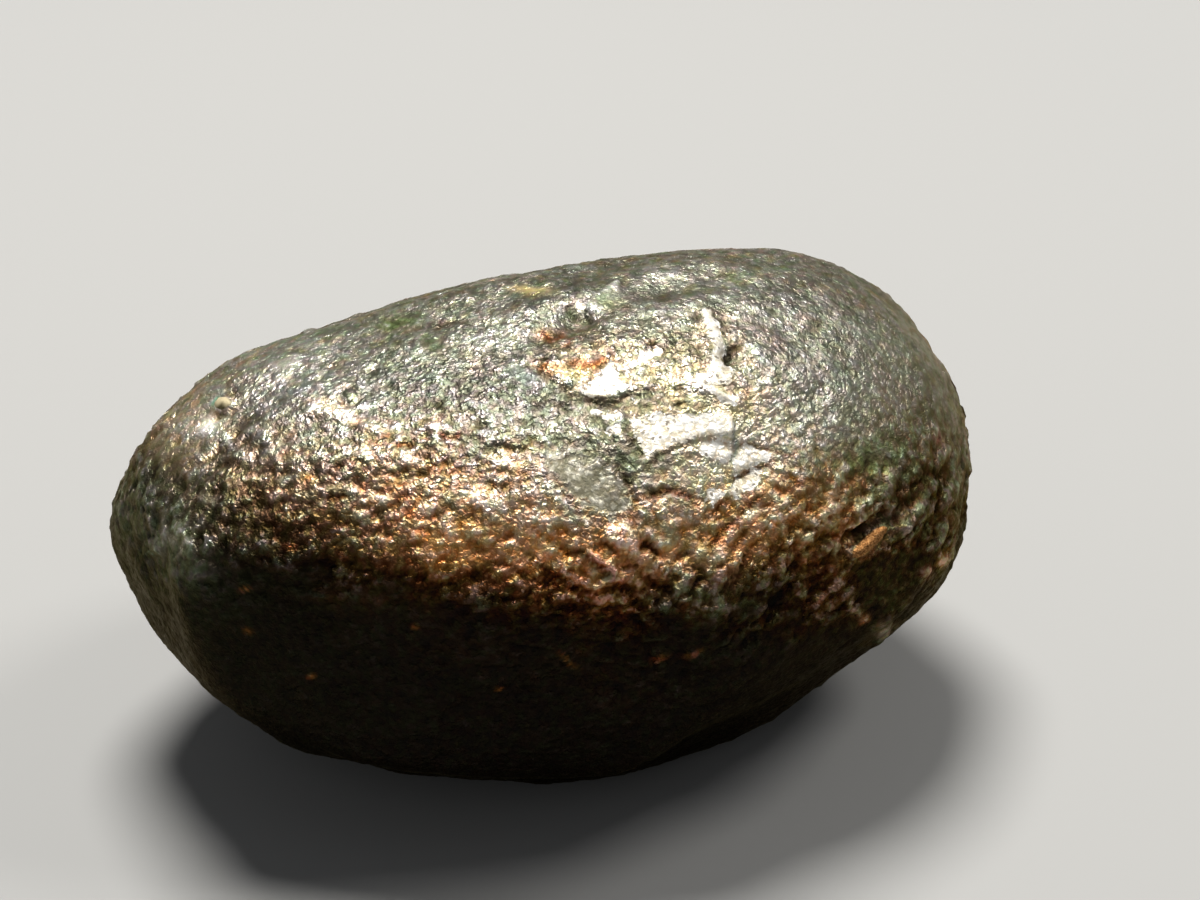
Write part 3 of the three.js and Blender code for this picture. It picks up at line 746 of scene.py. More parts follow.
def lay(mask, colour=None, rough=None, metal=None, contrast=None, bump=None):
    global COL, ROUGH, METAL, CONTRAST, BUMP
    mask = np.clip(mask, 0, 1)
    if colour is not None:
        COL = mix(COL, np.tile(colour, (len(mask), 1)) if np.ndim(colour) == 1 else colour, mask)
    if rough is not None:
        ROUGH = mix(ROUGH, rough + 0 * ROUGH, mask)
    if metal is not None:
        METAL = mix(METAL, metal + 0 * METAL, mask)
    if contrast is not None:
        CONTRAST = mix(CONTRAST, contrast + 0 * CONTRAST, mask)
    if bump is not None:
        BUMP = mix(BUMP, bump + 0 * BUMP, mask)


def along_line(points, width, soft=0.18):
    d, t = line_at(points)
    return np.exp(-(d / width) ** 2) * ends(t, soft) * FRONT


# duller, darker skin at the two ends: partly the ore's greenish tarnish, partly painted shade of the ends turned from
# the light
ragged = 0.75 + 0.25 * smooth(-0.5, 0.5, noise(P / 1.1, 99))
lay((0.70 * oval(150, 500, 66, 95, 20) * WRAP + 0.25 * spot(215, 490, 60, 60)) * ragged, rgb(112, 115, 97), 0.42)
# a dark flat low on the narrow end, painted shade of the facet turned from the light; lighter shoulders above it
COL = COL * (1 - 0.58 * oval(140, 590, 85, 30, 54, 3.0) * WRAP)[:, None]
COL = COL * (1 + 0.55 * spot(215, 518, 30, 22) + 0.60 * spot(172, 448, 30, 30) + 0.50 * spot(136, 488, 22, 24))[:, None]
lay(0.55 * smooth(800, 930, SX) * FRONT * smooth(-0.1, 0.3, NZ), rgb(122, 117, 98), 0.45)
lay(0.65 * spot(915, 490, 66, 90, -20), rgb(54, 58, 40), 0.5)
# broad lighter and darker dabs: partly the ore's own tone, partly painted light and painted shade
for x, y, rx, ry, a, k in ((330, 450, 90, 36, 8, 0.74), (320, 525, 110, 40, 10, 0.64), (470, 372, 90, 36, 0, 0.90), (890, 375, 60, 80, 10, 1.66), (628, 350, 70, 18, 0, 0.42), (385, 428, 84, 40, 0, 0.80), (460, 552, 60, 22, 0, 1.12), (542, 548, 34, 20, 0, 1.30), (600, 550, 50, 20, 0, 1.12), (530, 512, 50, 18, 0, 1.18), (480, 312, 44, 18, 0, 1.22), (340, 350, 28, 20, 0, 1.12), (430, 392, 40, 20, 0, 0.90), (344, 470, 26, 20, 0, 0.88), (224, 440, 24, 22, 0, 0.86), (180, 474, 26, 18, 0, 1.2), (540, 552, 26, 16, 0, 1.2), (752, 408, 56, 34, 0, 1.85), (742, 452, 46, 26, 0, 1.75), (420, 388, 32, 18, 0, 0.72), (340, 470, 32, 18, 0, 0.70), (462, 512, 34, 16, 0, 0.82), (664, 550, 40, 18, 0, 1.25), (742, 552, 32, 16, 0, 1.3), (862, 430, 32, 22, 0, 1.2), (690, 474, 50, 20, 0, 2.0), (640, 552, 40, 20, 0, 1.15), (192, 430, 40, 36, -35, 1.55), (316, 378, 60, 26, -18, 1.30), (515, 390, 50, 26, 0, 0.72), (458, 550, 36, 20, 0, 1.95), (395, 512, 60, 16, 0, 0.84), (470, 352, 34, 20, 0, 1.42), (860, 352, 30, 24, 0, 0.85), (560, 394, 30, 16, 0, 0.85), (700, 594, 44, 16, 0, 0.36), (505, 594, 34, 16, 0, 0.72), (748, 586, 50, 20, 0, 0.62), (700, 550, 60, 16, 0, 1.18), (672, 396, 40, 12, 5, 0.80), (184, 556, 26, 26, 0, 3.2), (442, 592, 46, 16, 0, 1.5), (400, 592, 50, 16, 0, 1.35), (502, 572, 26, 30, 0, 0.66), (500, 392, 30, 18, 0, 0.86), (622, 432, 18, 20, 0, 0.86), (200, 412, 40, 40, -35, 1.14), (220, 470, 30, 18, 0, 0.82), (780, 310, 44, 24, 10, 0.86), (345, 470, 60, 24, 0, 0.92),
                           (500, 560, 90, 34, 15, 1.14), (730, 566, 70, 30, -15, 0.98), (478, 448, 80, 36, 0, 0.85), (330, 412, 80, 18, 8, 0.88), (820, 580, 44, 40, 0, 0.60), (915, 480, 40, 60, -20, 0.80), (590, 376, 44, 20, 0, 0.80), (620, 470, 17, 26, -35, 0.66), (640, 486, 30, 10, 0, 0.85), (650, 290, 90, 26, 0, 0.94), (250, 368, 84, 26, -25, 1.36)):
    COL = COL * (1 + (k - 1) * spot(x, y, rx, ry, a))[:, None]
COL = COL * (1 + np.outer(spot(280, 395, 90, 50), [-0.03, 0.0, 0.10]))
COL = COL * np.array([1.0, 1.0, 1.05])
low_hue = np.array([1.0, 0.90, 0.80])
murk = low * (0.26 * noise(P / np.array([1.3, 1.3, 0.8]), 96) - 0.04)
COL = COL * (1 + murk[:, None] * (2 - low_hue))
# mossy green tarnish
for x, y, rx, ry, a, k in ((398, 322, 26, 12, -12, .8), (432, 342, 16, 12, 0, .6), (740, 279, 16, 10, 0, .55), (862, 462, 44, 28, -25, .70),
                           (800, 452, 26, 10, 0, .35), (700, 600, 50, 12, 0, .25), (470, 540, 30, 12, 0, .25), (640, 460, 22, 14, 0, .5)):
    n = smooth(-0.5, 0.5, noise(P / 0.8, 81) + 0.3)
    lay(k * spot(x, y, rx, ry, a) * n * 1.4, rgb(96, 104, 66), 0.6, 0.35, 0.7, 0.8)
green = smooth(0.42, 0.8, noise(P / 3.7, 83) + 0.35 * noise(P / 0.9, 84)) * smooth(0.05, 0.4, NZ) * (1 - FRONT)
lay(0.6 * green, rgb(98, 106, 66), 0.6, 0.35, 0.7, 0.8)
# lilac-grey crystals to the right of the break
lay(0.6 * spot(746, 430, 26, 74, -6), None, None, 0.72, 0.62, 0.9)
lay(0.35 * spot(785, 440, 52, 36) * smooth(-0.5, 0.6, noise(P / 0.5, 82)), rgb(196, 178, 168), 0.36, 0.9)
# rusty and golden stains
for x, y, rx, ry, a, k, c in ((556, 338, 18, 7, 15, .9, (176, 92, 34)), (552, 366, 18, 6, 12, .9, (180, 98, 34)), (592, 364, 24, 7, -5, .9, (190, 110, 40)),
                              (437, 564, 13, 5, 8, .7, (196, 124, 66)), (310, 479, 9, 5, 0, .7, (214, 150, 60)), (287, 545, 5, 4, 0, .7, (176, 106, 68)),
                              (800, 512, 46, 15, -25, .6, (166, 122, 62)), (850, 486, 26, 12, -10, .4, (160, 108, 56)), (640, 346, 46, 9, 0, .25, (200, 160, 90)),
                              (690, 366, 24, 10, 15, .25, (206, 170, 100)), (748, 396, 13, 7, 0, .55, (214, 166, 90)), (670, 411, 24, 3.5, 5, .4, (206, 170, 96)),
                              (585, 586, 44, 12, 35, .5, (186, 108, 52)), (560, 372, 14, 5, 0, .5, (200, 140, 60)), (530, 570, 40, 10, 10, .4, (180, 108, 56)),
                              (415, 512, 14, 16, 60, .5, (190, 120, 40)), (470, 470, 60, 12, 5, .25, (190, 110, 50)), (700, 506, 56, 9, -5, .45, (170, 96, 48)), (790, 486, 40, 8, -10, .5, (176, 92, 44)), (736, 530, 40, 8, -35, .5, (168, 104, 44)), (812, 566, 22, 10, 20, .5, (140, 84, 36)), (826, 600, 24, 8, 30, .45, (120, 74, 34)), (658, 384, 30, 5, 8, .5, (176, 130, 62)), (684, 404, 22, 4, 5, .5, (170, 126, 60)), (650, 372, 36, 5, -5, .35, (180, 140, 76))):
    lay(k * spot(x, y, rx, ry, a) * smooth(-0.7, 0.5, noise(P / 0.45, 85)), rgb(*c), 0.42, 0.85)
    TINT = np.maximum(TINT, k * spot(x, y, rx * 1.2, ry * 1.2, a))
# fresh break: pale and creamy, with gold crumbs round the shining faces; its near-white faces are painted highlight
# where they catch the light
n = smooth(-0.8, 0.6, noise(P / 0.7, 86))
lay(0.42 * FRACTURE * n, rgb(206, 196, 170), 0.34, 0.9, 1.0, 0.9)
COL = COL * (1 - 0.34 * spot(668, 346, 30, 16) - 0.22 * spot(660, 394, 24, 14) - 0.20 * spot(590, 428, 26, 20))[:, None]
TINT = mix(TINT, 0.25 + 0 * TINT, 0.7 * FRACTURE * smooth(505, 450, SY))
# grey band along the foot of the ledge: painted shadow of the ledge
lay(0.75 * patch([(598, 405), (620, 401), (638, 390), (664, 388), (680, 394), (700, 402), (690, 408), (664, 407), (636, 412), (612, 410)], 5.0), rgb(132, 128, 108), 0.45, 0.7, 0.9)
lay(along_line([(572, 386), (584, 406), (604, 428), (612, 440)], 5.0) * 0.8, rgb(128, 132, 110), 0.45, 0.3, 0.4, 0.5)
lay(along_line([(532, 360), (542, 374), (549, 384)], 4.0) * 0.8, rgb(112, 106, 72), 0.5, 0.3, 0.4)
for pts, c, k in (([(556, 370), (576, 362), (600, 374), (584, 386), (560, 382)], (222, 196, 140), 0.40),
                  ([(598, 366), (620, 356), (664, 350), (690, 362), (664, 376), (628, 386), (604, 384)], (214, 202, 170), 0.20),
                  ([(660, 376), (700, 372), (740, 398), (760, 406), (746, 422), (704, 412), (668, 400)], (236, 224, 192), 0.45),
                  ([(628, 416), (664, 408), (716, 408), (736, 416), (730, 438), (690, 444), (650, 456), (636, 440)], (242, 232, 206), 0.65),
                  ([(736, 444), (776, 446), (796, 454), (776, 476), (744, 504), (726, 498)], (240, 224, 206), 0.60),
                  ([(690, 442), (728, 440), (732, 466), (700, 466)], (240, 230, 212), 0.65)):
    lay(k * patch(pts, 6.0) * smooth(-0.9, 0.4, noise(P / 0.4, 87)), rgb(*c), 0.32, 0.9, 0.8, 0.8)
# grey under the lower edge of the slab: painted shadow of the slab
lay(0.8 * patch([(646, 458), (664, 451), (676, 455), (668, 464), (652, 468)], 3.0), rgb(112, 106, 88), 0.45, 0.8)
wedge = smooth(-2, 2, d_wedge)
lay(wedge * 0.8, rgb(116, 112, 92), 0.42, 0.7, 0.9)
# dark brown in the recess left of the break: painted shade
lay(along_line([(612, 470), (622, 478), (630, 487)], 5.0), rgb(84, 72, 46), 0.5, 0.7)
lay(spot(660, 508, 16, 6) * 0.7, rgb(235, 215, 180), 0.32, 0.9)
# shining faces: pale cream laid on the flat faces, a painted highlight where they catch the light
for x, y, rx, ry, a in ((368, 424, 12, 6, 10), (378, 498, 13, 5, 8), (362, 452, 14, 4.5, -5), (407, 460, 9, 6, 30), (433, 427, 9, 5, 0),
                        (510, 461, 16, 8, 5), (484, 500, 22, 10, 15), (450, 532, 8, 4, 5), (427, 507, 10, 6, 25), (323, 408, 18, 10, 0),
                        (210, 500, 9, 5, 15), (345, 415, 12, 7, 20), (658, 545, 4, 4, 0), (544, 515, 14, 7, 0), (680, 520, 12, 5, 0),
                        (752, 512, 12, 5, -40), (776, 520, 12, 5, -35), (716, 556, 8, 4, -20)):
    lay(spot(x, y, rx, ry, a, 3) * 0.75, rgb(230, 216, 198), 0.38, 0.66, 0.75, 0.85)
# pinkish lump and rusty ridge
lay(0.75 * smooth(-2, 3, d_lump), rgb(206, 164, 132), 0.38, 0.8, 0.7, 0.8)
lay(0.9 * along_line([(578, 546), (594, 556), (612, 571), (628, 590)], 3.4), rgb(236, 146, 92), 0.34, 0.8)
TINT = np.maximum(TINT, along_line([(578, 546), (594, 556), (612, 571), (628, 590)], 5.0))
# a painted glint on the small bright grain
lay(spot(660, 545, 6, 4) * 0.9, rgb(236, 226, 208), 0.34, 0.5)
# deep creases are painted dark red-brown: partly rust stain, partly painted shade in the creases
for pts, w in (([(642, 498), (656, 492), (672, 491), (684, 495), (698, 502)], 3.6), ([(733, 444), (754, 445), (780, 453), (800, 462)], 2.4),
               ([(730, 486), (748, 474), (770, 462)], 2.6), ([(640, 543), (652, 549), (664, 556)], 4.5), ([(436, 433), (452, 437), (466, 433)], 3.2),
               ([(392, 448), (404, 444), (414, 448)], 3), ([(326, 494), (338, 498), (350, 494)], 4), ([(704, 556), (730, 524), (768, 486)], 2.4),
               ([(560, 548), (590, 556), (632, 592)], 3.4), ([(520, 548), (552, 574), (600, 604)], 3)):
    lay(0.85 * along_line(pts, w * 1.15), rgb(106, 58, 28), 0.45, 0.9)
# the same painted crease shade, in crumbs along the falling and slanting creases
crumbs = smooth(-0.35, 0.45, noise(P / 0.5, 97))
for pts in FALLING:
    lay(0.45 * crumbs * along_line(pts, 2.8), rgb(92, 50, 22), 0.45, 0.9)
for pts, _ in SLANTING[1:]:
    lay(0.45 * crumbs * along_line(pts, 2.3), rgb(100, 62, 34), 0.45, 0.9)
lay(along_line([(735, 416), (733, 434), (735, 456), (729, 468)], 2.8), rgb(140, 150, 150), 0.45, 0.4, 0.4, 0.5)
# quartz vein and pale scales: glassy, so hardly metallic
lay(0.5 * VEIN * smooth(-0.9, 0.5, noise(P / 0.6, 88)), rgb(150, 150, 132), 0.36, 0.5, 0.9, 0.8)
lay(0.5 * spot(522, 376, 22, 9, 25), rgb(134, 142, 148), 0.4, 0.2, 0.5)
lay(0.8 * SCALE_A, rgb(196, 192, 180), 0.36, 0.6, 0.35, 0.4)
lay(0.65 * SCALE_B * smooth(-0.7, 0.3, noise(P / 0.8, 98)), rgb(136, 140, 116), 0.42, 0.45, 1.05, 1.05)
lay(smooth(-6, 6, d_quartz) * 0.7, rgb(140, 150, 122), 0.4, 0.3, 0.7, 0.7)
lay(spot(531, 290, 20, 3.4, 4) * 0.95, rgb(236, 214, 146), 0.35, 0.5, 0.3)
# dark line along the notch: painted shadow of its rim
lay(along_line([(563, 306), (572, 316), (580, 323), (588, 325), (597, 320)], 3.2), rgb(98, 102, 80), 0.5, 0.5)
# marks at the narrow end
# painted shadow under the cream grain
lay(spot(220, 416, 9, 3.0, -10), rgb(50, 40, 24), 0.6, 0.3)
lay(spot(215, 403, 4.0, 7.0, 25) * 0.9, rgb(58, 150, 128), 0.5, 0.1, 0.4, 0.6)
lay(BEAD, rgb(112, 108, 92), 0.32, 0.85, 0.25, 0.2)
lay(spot(209, 424, 8, 12, 50), rgb(240, 238, 230), 0.36, 0.15, 0.6)
# copper and what lies round it
# the slit painted dark: painted shade under its lip
lay(SLIT * (1 - BLEB) * 0.8, rgb(40, 33, 22), 0.5, 0.7, 0.5)
lay(0.6 * RIM, rgb(86, 76, 58), 0.5, 0.7, 0.8)
lay(0.85 * FLAT, rgb(46, 42, 20), 0.55, 0.9, 1.0, 0.9)
lay(spot(882, 630, 11, 6, -30) * 0.8, rgb(142, 130, 98), 0.4, 0.6)
lay(spot(864, 618, 5, 3.5) * 0.8, rgb(150, 108, 70), 0.42, 0.8)
lay(0.7 * np.exp(-(lip_d / 3.0) ** 2) * ends(lip_t) * FRONT, rgb(150, 126, 96), 0.4, 0.7)
lay(spot(943, 559, 9, 4, -55) * 0.9, rgb(176, 136, 86), 0.4, 0.8)
lay(spot(925, 572, 5, 5) * 0.8, rgb(160, 120, 96), 0.4, 0.8)
lay(spot(938, 440, 6, 10) * 0.7, rgb(150, 100, 90), 0.4, 0.7)
lay(0.8 * spot(736, 347, 9, 6, -40), rgb(118, 84, 46), 0.5, 0.7, 1.0)
# painted shade in the vug
lay(smooth(-2, 2, d_vug), rgb(34, 24, 14), 0.5, 0.6)
# painted shade in the pits
for x, y, r, dep in HOLES:
    lay(spot(x, y, r * 1.1, r * 0.9, 0, 2) * 0.65, rgb(76, 62, 44), 0.5, 0.7)
# sparks in the dark
for x, y, rx, ry, a in ((568, 660, 9, 1.8, 38), (660, 660, 6, 2, -10), (500, 690, 3, 1.6, 0), (248, 632, 4, 2, 0), (310, 676, 3, 2, 0), (690, 655, 8, 1.6, -15), (415, 627, 3, 1.6, 0), (246, 590, 4, 2, -20)):
    lay(spot(x, y, rx, ry, a) * 0.75, rgb(150, 92, 54), 0.35, 0.95)
# painted shade in the hollows and on the sides turned from the key lamp, painted highlight on the ribs and the sides
# turned to it
RELIEF_LIGHT_SHADE = np.clip(0.5 + (0.35 * H + 0.65 * (H - spread_over(H, 16))) / 0.27 + 0.38 * KEY_LAMP_TURN, 0, 1)

COL = np.clip(COL, 0.004, 0.92)
ROUGH = np.clip(ROUGH, 0.2, 0.85)

# distances to the edges of the sharp-edged marks, 16 units to 0.5, so that the
# material can cut them crisply between the vertices
def edge(d):
    return np.clip(0.5 + d / 32.0, 0, 1)


bright_d = np.maximum.reduce([d_gleam, d_streak, d_slab, d_block, d_block2, d_block3, d_chip, d_chip2, d_chip3, d_ridge, d_arc, d_crystal])
pale_d = d_vein2
EDGES = np.column_stack([edge(bright_d), edge(pale_d), edge(d_bleb), edge(d_grain)])

# -------------------------------------------------------------- the mesh object
mesh = bpy.data.meshes.new("nugget_surface")
nv, nf = len(PTS), len(QUADS)
mesh.vertices.add(nv)
mesh.vertices.foreach_set("co", ((PTS + CENTRE) / 1000).astype(np.float32).ravel())
mesh.loops.add(nf * 4)
mesh.loops.foreach_set("vertex_index", QUADS.astype(np.int32).ravel())
mesh.polygons.add(nf)
mesh.polygons.foreach_set("loop_start", np.arange(0, nf * 4, 4, dtype=np.int32))
mesh.polygons.foreach_set("use_smooth", np.ones(nf, bool))
uv = mesh.uv_layers.new(name="OFBake")
uv.data.foreach_set("uv", UV.astype(np.float32).ravel())


def paint(name, columns):
    a = mesh.attributes.new(name, "FLOAT_COLOR", "POINT")
    a.data.foreach_set("color", np.column_stack(columns).astype(np.float32).ravel())


paint("ore_colour", [COL, RELIEF_LIGHT_SHADE])
paint("ore_surface", [CONTRAST, ROUGH, METAL, BUMP])
paint("ore_edges", [EDGES])
paint("ore_stain", [TINT, TINT, TINT, TINT])
mesh.update(calc_edges=True)
mesh.validate()
nugget = bpy.data.objects.new("nugget_ore", mesh)
bpy.context.scene.collection.objects.link(nugget)

# --------------------------------------------------------------- ore material
mat = bpy.data.materials.new("mohawkite_ore")
mat.use_nodes = True
nt = mat.node_tree
nt.nodes.clear()


def node(kind, **props):
    n = nt.nodes.new(kind)
    for k, v in props.items():
        setattr(n, k, v)
    return n


def put(socket, value):
    if isinstance(value, (int, float, tuple)):
        socket.default_value = value
    else:
        nt.links.new(value, socket)


def mathn(op, a, b=None, c=None, clamp=False):
    n = node("ShaderNodeMath", operation=op, use_clamp=clamp)
    for i, v in enumerate((a, b, c)):
        if v is not None:
            put(n.inputs[i], v)
    return n.outputs[0]


def vecn(op, a, b=None, scale=None):
    n = node("ShaderNodeVectorMath", operation=op)
    put(n.inputs[0], a)
    if b is not None:
        put(n.inputs[1], b)
    if scale is not None:
        put(n.inputs["Scale"], scale)
    return n.outputs[0]


def remap(v, a, b, c, d, smooth_step=False):
    n = node("ShaderNodeMapRange")
    if smooth_step:
        n.interpolation_type = "SMOOTHSTEP"
    put(n.inputs[0], v)
    for i, x in enumerate((a, b, c, d)):
        put(n.inputs[i + 1], x)
    return n.outputs[0]


def blend(fac, a, b, kind="MIX"):
    n = node("ShaderNodeMix", data_type="RGBA", blend_type=kind)
    put(n.inputs["Factor"], fac)
    put([s for s in n.inputs if s.name == "A" and s.type == "RGBA"][0], a)
    put([s for s in n.inputs if s.name == "B" and s.type == "RGBA"][0], b)
    return [s for s in n.outputs if s.type == "RGBA"][0]


def blendf(fac, a, b):
    n = node("ShaderNodeMix", data_type="FLOAT")
    put(n.inputs["Factor"], fac)
    put([s for s in n.inputs if s.name == "A" and s.type == "VALUE"][0], a)
    put([s for s in n.inputs if s.name == "B" and s.type == "VALUE"][0], b)
    return [s for s in n.outputs if s.type == "VALUE"][0]


def split(colour):
    n = node("ShaderNodeSeparateColor")
    put(n.inputs[0], colour)
    return n.outputs[0], n.outputs[1], n.outputs[2]


def noise_tex(vec, scale, detail=3.0, rough=0.55):
    n = node("ShaderNodeTexNoise", noise_dimensions="3D")
    put(n.inputs["Vector"], vec)
    n.inputs["Scale"].default_value = scale
    n.inputs["Detail"].default_value = detail
    n.inputs["Roughness"].default_value = rough
    return n


def voronoi(vec, scale, feature="F1"):
    v = node("ShaderNodeTexVoronoi", voronoi_dimensions="3D", feature=feature)
    put(v.inputs["Vector"], vec)
    v.inputs["Scale"].default_value = scale
    return v


coord = node("ShaderNodeTexCoord")
pos = vecn("SCALE", coord.outputs["Object"], scale=1000.0)     # millimetres
warp = noise_tex(pos, 4.5, 2.0)
p_warp = vecn("ADD", pos, vecn("SCALE", vecn("SUBTRACT", warp.outputs["Color"], (0.5, 0.5, 0.5)), scale=0.30))
dot = node("ShaderNodeVectorMath", operation="DOT_PRODUCT")       # grains longer fore and aft
put(dot.inputs[0], p_warp)
put(dot.inputs[1], tuple(float(v) for v in GRAIN_WAY))
p_warp = vecn("SUBTRACT", p_warp, vecn("SCALE", tuple(float(0.42 * v) for v in GRAIN_WAY), scale=dot.outputs["Value"]))

att_c = node("ShaderNodeAttribute", attribute_name="ore_colour")
att_s = node("ShaderNodeAttribute", attribute_name="ore_surface")
att_e = node("ShaderNodeAttribute", attribute_name="ore_edges")
contrast, rough_v, metal_v = split(att_s.outputs["Color"])
bump_v = att_s.outputs["Alpha"]
relief_light_shade = att_c.outputs["Alpha"]
e_bright, e_pale, e_bleb = split(att_e.outputs["Color"])
e_grain = att_e.outputs["Alpha"]
att_t = node("ShaderNodeAttribute", attribute_name="ore_stain")
tint = att_t.outputs["Alpha"]

# grains: lumps of a fifth and a tenth of a millimetre with fine roughness on them
n_mid = noise_tex(p_warp, 2.8, 2.4, 0.50).outputs["Fac"]
n_fine = noise_tex(pos, 15.0, 2.0, 0.6).outputs["Fac"]
# streaks drawn out along the stone, and broad patches painted brighter and duller, a painted glitter that comes and
# goes
n_long = noise_tex(vecn("MULTIPLY", p_warp, (0.95, 0.95, 2.0)), 1.5, 3.0, 0.55).outputs["Fac"]
n_low = noise_tex(pos, 0.60, 3.0, 0.62).outputs["Fac"]
n_hue = noise_tex(pos, 1.9, 2.0, 0.6).outputs["Fac"]
v0 = voronoi(vecn("MULTIPLY", p_warp, (0.85, 0.85, 1.4)), 2.4)
v1 = voronoi(p_warp, 4.8)
v2 = voronoi(p_warp, 9.0)
s1r, s1g, s1b = split(v1.outputs["Color"])
s2r, s2g, s2b = split(v2.outputs["Color"])
s0r, s0g, s0b = split(v0.outputs["Color"])
h0 = remap(v0.outputs["Distance"], 0.0, 0.75, 1.0, 0.0)
h0 = mathn("MULTIPLY", h0, mathn("ADD", 0.5, mathn("MULTIPLY", s0r, 0.8)))
h1 = remap(v1.outputs["Distance"], 0.0, 0.75, 1.0, 0.0)
h2 = remap(v2.outputs["Distance"], 0.0, 0.75, 1.0, 0.0)
h1 = mathn("MULTIPLY", h1, mathn("ADD", 0.5, mathn("MULTIPLY", s1r, 0.8)))
h2 = mathn("MULTIPLY", h2, mathn("ADD", 0.5, mathn("MULTIPLY", s2r, 0.8)))
# 0 to 1 or so, about 0.5 in the middle
grit = mathn("ADD", mathn("MULTIPLY", n_mid, 0.44), mathn("ADD", mathn("MULTIPLY", h0, 0.20), mathn("ADD", mathn("MULTIPLY", h1, 0.22), mathn("MULTIPLY", h2, 0.05))))
height = mathn("ADD", grit, mathn("MULTIPLY", n_long, 0.22))

# edges of the sharp marks, made a little ragged
rag = mathn("MULTIPLY", mathn("SUBTRACT", n_mid, 0.5), 0.55)
m_bright = remap(mathn("ADD", e_bright, rag), 0.47, 0.56, 0.0, 1.0, True)
m_pale = remap(mathn("ADD", e_pale, mathn("MULTIPLY", rag, 1.6)), 0.42, 0.66, 0.0, 1.0, True)
m_bleb = remap(e_bleb, 0.48, 0.53, 0.0, 1.0, True)
m_grain = remap(e_grain, 0.48, 0.55, 0.0, 1.0, True)

# painted shade: hollows go dark and deep in colour, as light bounced about between metal
# walls does; painted highlight: crests go pale
lift = mathn("ADD", mathn("MULTIPLY", mathn("SUBTRACT", height, 0.54), 0.80), mathn("MULTIPLY", mathn("SUBTRACT", relief_light_shade, 0.5), 0.46))
lift = mathn("ADD", lift, mathn("MULTIPLY", mathn("SUBTRACT", n_low, 0.5), 0.30))
gam = mathn("ADD", 1.0, mathn("MULTIPLY", mathn("MULTIPLY", lift, -4.1), contrast))
gam = mathn("MINIMUM", mathn("MAXIMUM", gam, 0.48), 2.35)
gm = node("ShaderNodeGamma")
put(gm.inputs["Color"], att_c.outputs["Color"])
put(gm.inputs["Gamma"], gam)
# the lightness of the hollows and crests, in the hue of the place
bw = node("ShaderNodeRGBToBW")
put(bw.inputs[0], att_c.outputs["Color"])
grey_k = mathn("POWER", mathn("MAXIMUM", bw.outputs[0], 0.15), mathn("SUBTRACT", gam, 1.0))
base = vecn("SCALE", att_c.outputs["Color"], scale=grey_k)
# where the ore is silvery the painted shade in the hollows is olive; where it is bronze it is
# red-brown; the crests are painted a pale silver everywhere as a painted highlight
n_tint = mathn("ADD", tint, mathn("MULTIPLY", mathn("SUBTRACT", n_hue, 0.5), mathn("MULTIPLY", tint, 1.6)), None, True)
deep = blend(n_tint, (1.0, 1.01, 0.85, 1), (1.50, 0.87, 0.34, 1))
base = blend(remap(gam, 0.95, 2.0, 0.0, 1.0), base, deep, "MULTIPLY")
bw2 = node("ShaderNodeRGBToBW")
put(bw2.inputs[0], base)
pale = vecn("SCALE", (1.03, 1.0, 0.93), scale=bw2.outputs[0])
base = blend(mathn("MULTIPLY", remap(gam, 1.08, 0.56, 0.0, 0.88), remap(tint, 0.0, 1.0, 1.0, 0.55)), base, pale)
# a little drift of colour from place to place, from brassy to steely
hue = blend(remap(n_hue, 0.38, 0.62, 0.0, 1.0, True), (0.95, 1.01, 1.01, 1), (1.05, 0.99, 0.93, 1))
base = blend(contrast, base, hue, "MULTIPLY")
# and from grain to grain
grain_hue = blend(s1g, (1.05, 0.985, 0.90, 1), (0.96, 1.0, 1.13, 1))
base = blend(mathn("MULTIPLY", contrast, 0.45), base, grain_hue, "MULTIPLY")
n_moss = noise_tex(pos, 2.7, 1.0, 0.5).outputs["Fac"]
moss_k = mathn("MULTIPLY", remap(bw.outputs[0], 0.03, 0.30, 1.0, 0.42), remap(tint, 0.0, 1.0, 0.75, 1.0))
base = blend(moss_k, base, blend(remap(n_moss, 0.40, 0.60, 0.0, 1.0, True), (0.84, 1.06, 0.78, 1), (1.11, 0.945, 1.10, 1)), "MULTIPLY")

# here and there in the bronze a coppery grain
accent = mathn("MULTIPLY", remap(s1r, 0.84, 0.90, 0.0, 1.0), remap(tint, 0.35, 0.80, 0.0, 0.38))
base = blend(accent, base, blend(1.0, base, (1.36, 0.86, 0.42, 1), "MULTIPLY"))
# the broken faces, the quartz, the copper, the cream grain and dark bead
# the raised parts of the broken faces go near white: partly their pale colour, partly painted highlight
shine = blend(remap(height, 0.35, 0.58, 0.0, 1.0), (0.72, 0.64, 0.49, 1), (0.96, 0.94, 0.89, 1))
# small pits in the bright faces
speck = mathn("MULTIPLY", remap(v1.outputs["Distance"], 0.26, 0.46, 1.0, 0.0, True), remap(s1b, 0.62, 0.70, 0.0, 1.0))
shine = blend(mathn("MULTIPLY", speck, 0.85), shine, (0.16, 0.13, 0.09, 1))
base = blend(mathn("MULTIPLY", m_bright, remap(height, 0.28, 0.46, 0.55, 0.97)), base, shine)
quartz = blend(remap(height, 0.42, 0.66, 0.0, 1.0), (0.17, 0.16, 0.11, 1), (0.54, 0.51, 0.42, 1))
m_pale = mathn("MULTIPLY", m_pale, remap(n_low, 0.40, 0.56, 0.50, 0.90))
base = blend(m_pale, base, quartz)
copper = blend(remap(n_fine, 0.38, 0.60, 0.0, 1.0), (0.17, 0.066, 0.018, 1), (0.42, 0.215, 0.080, 1))
base = blend(m_bleb, base, copper)
base = blend(m_grain, base, blend(remap(relief_light_shade, 0.62, 0.90, 0.0, 1.0), (0.06, 0.05, 0.022, 1), (0.52, 0.44, 0.27, 1)))
clampc = vecn("MAXIMUM", vecn("MINIMUM", base, (0.97, 0.96, 0.94)), (0.003, 0.003, 0.003))

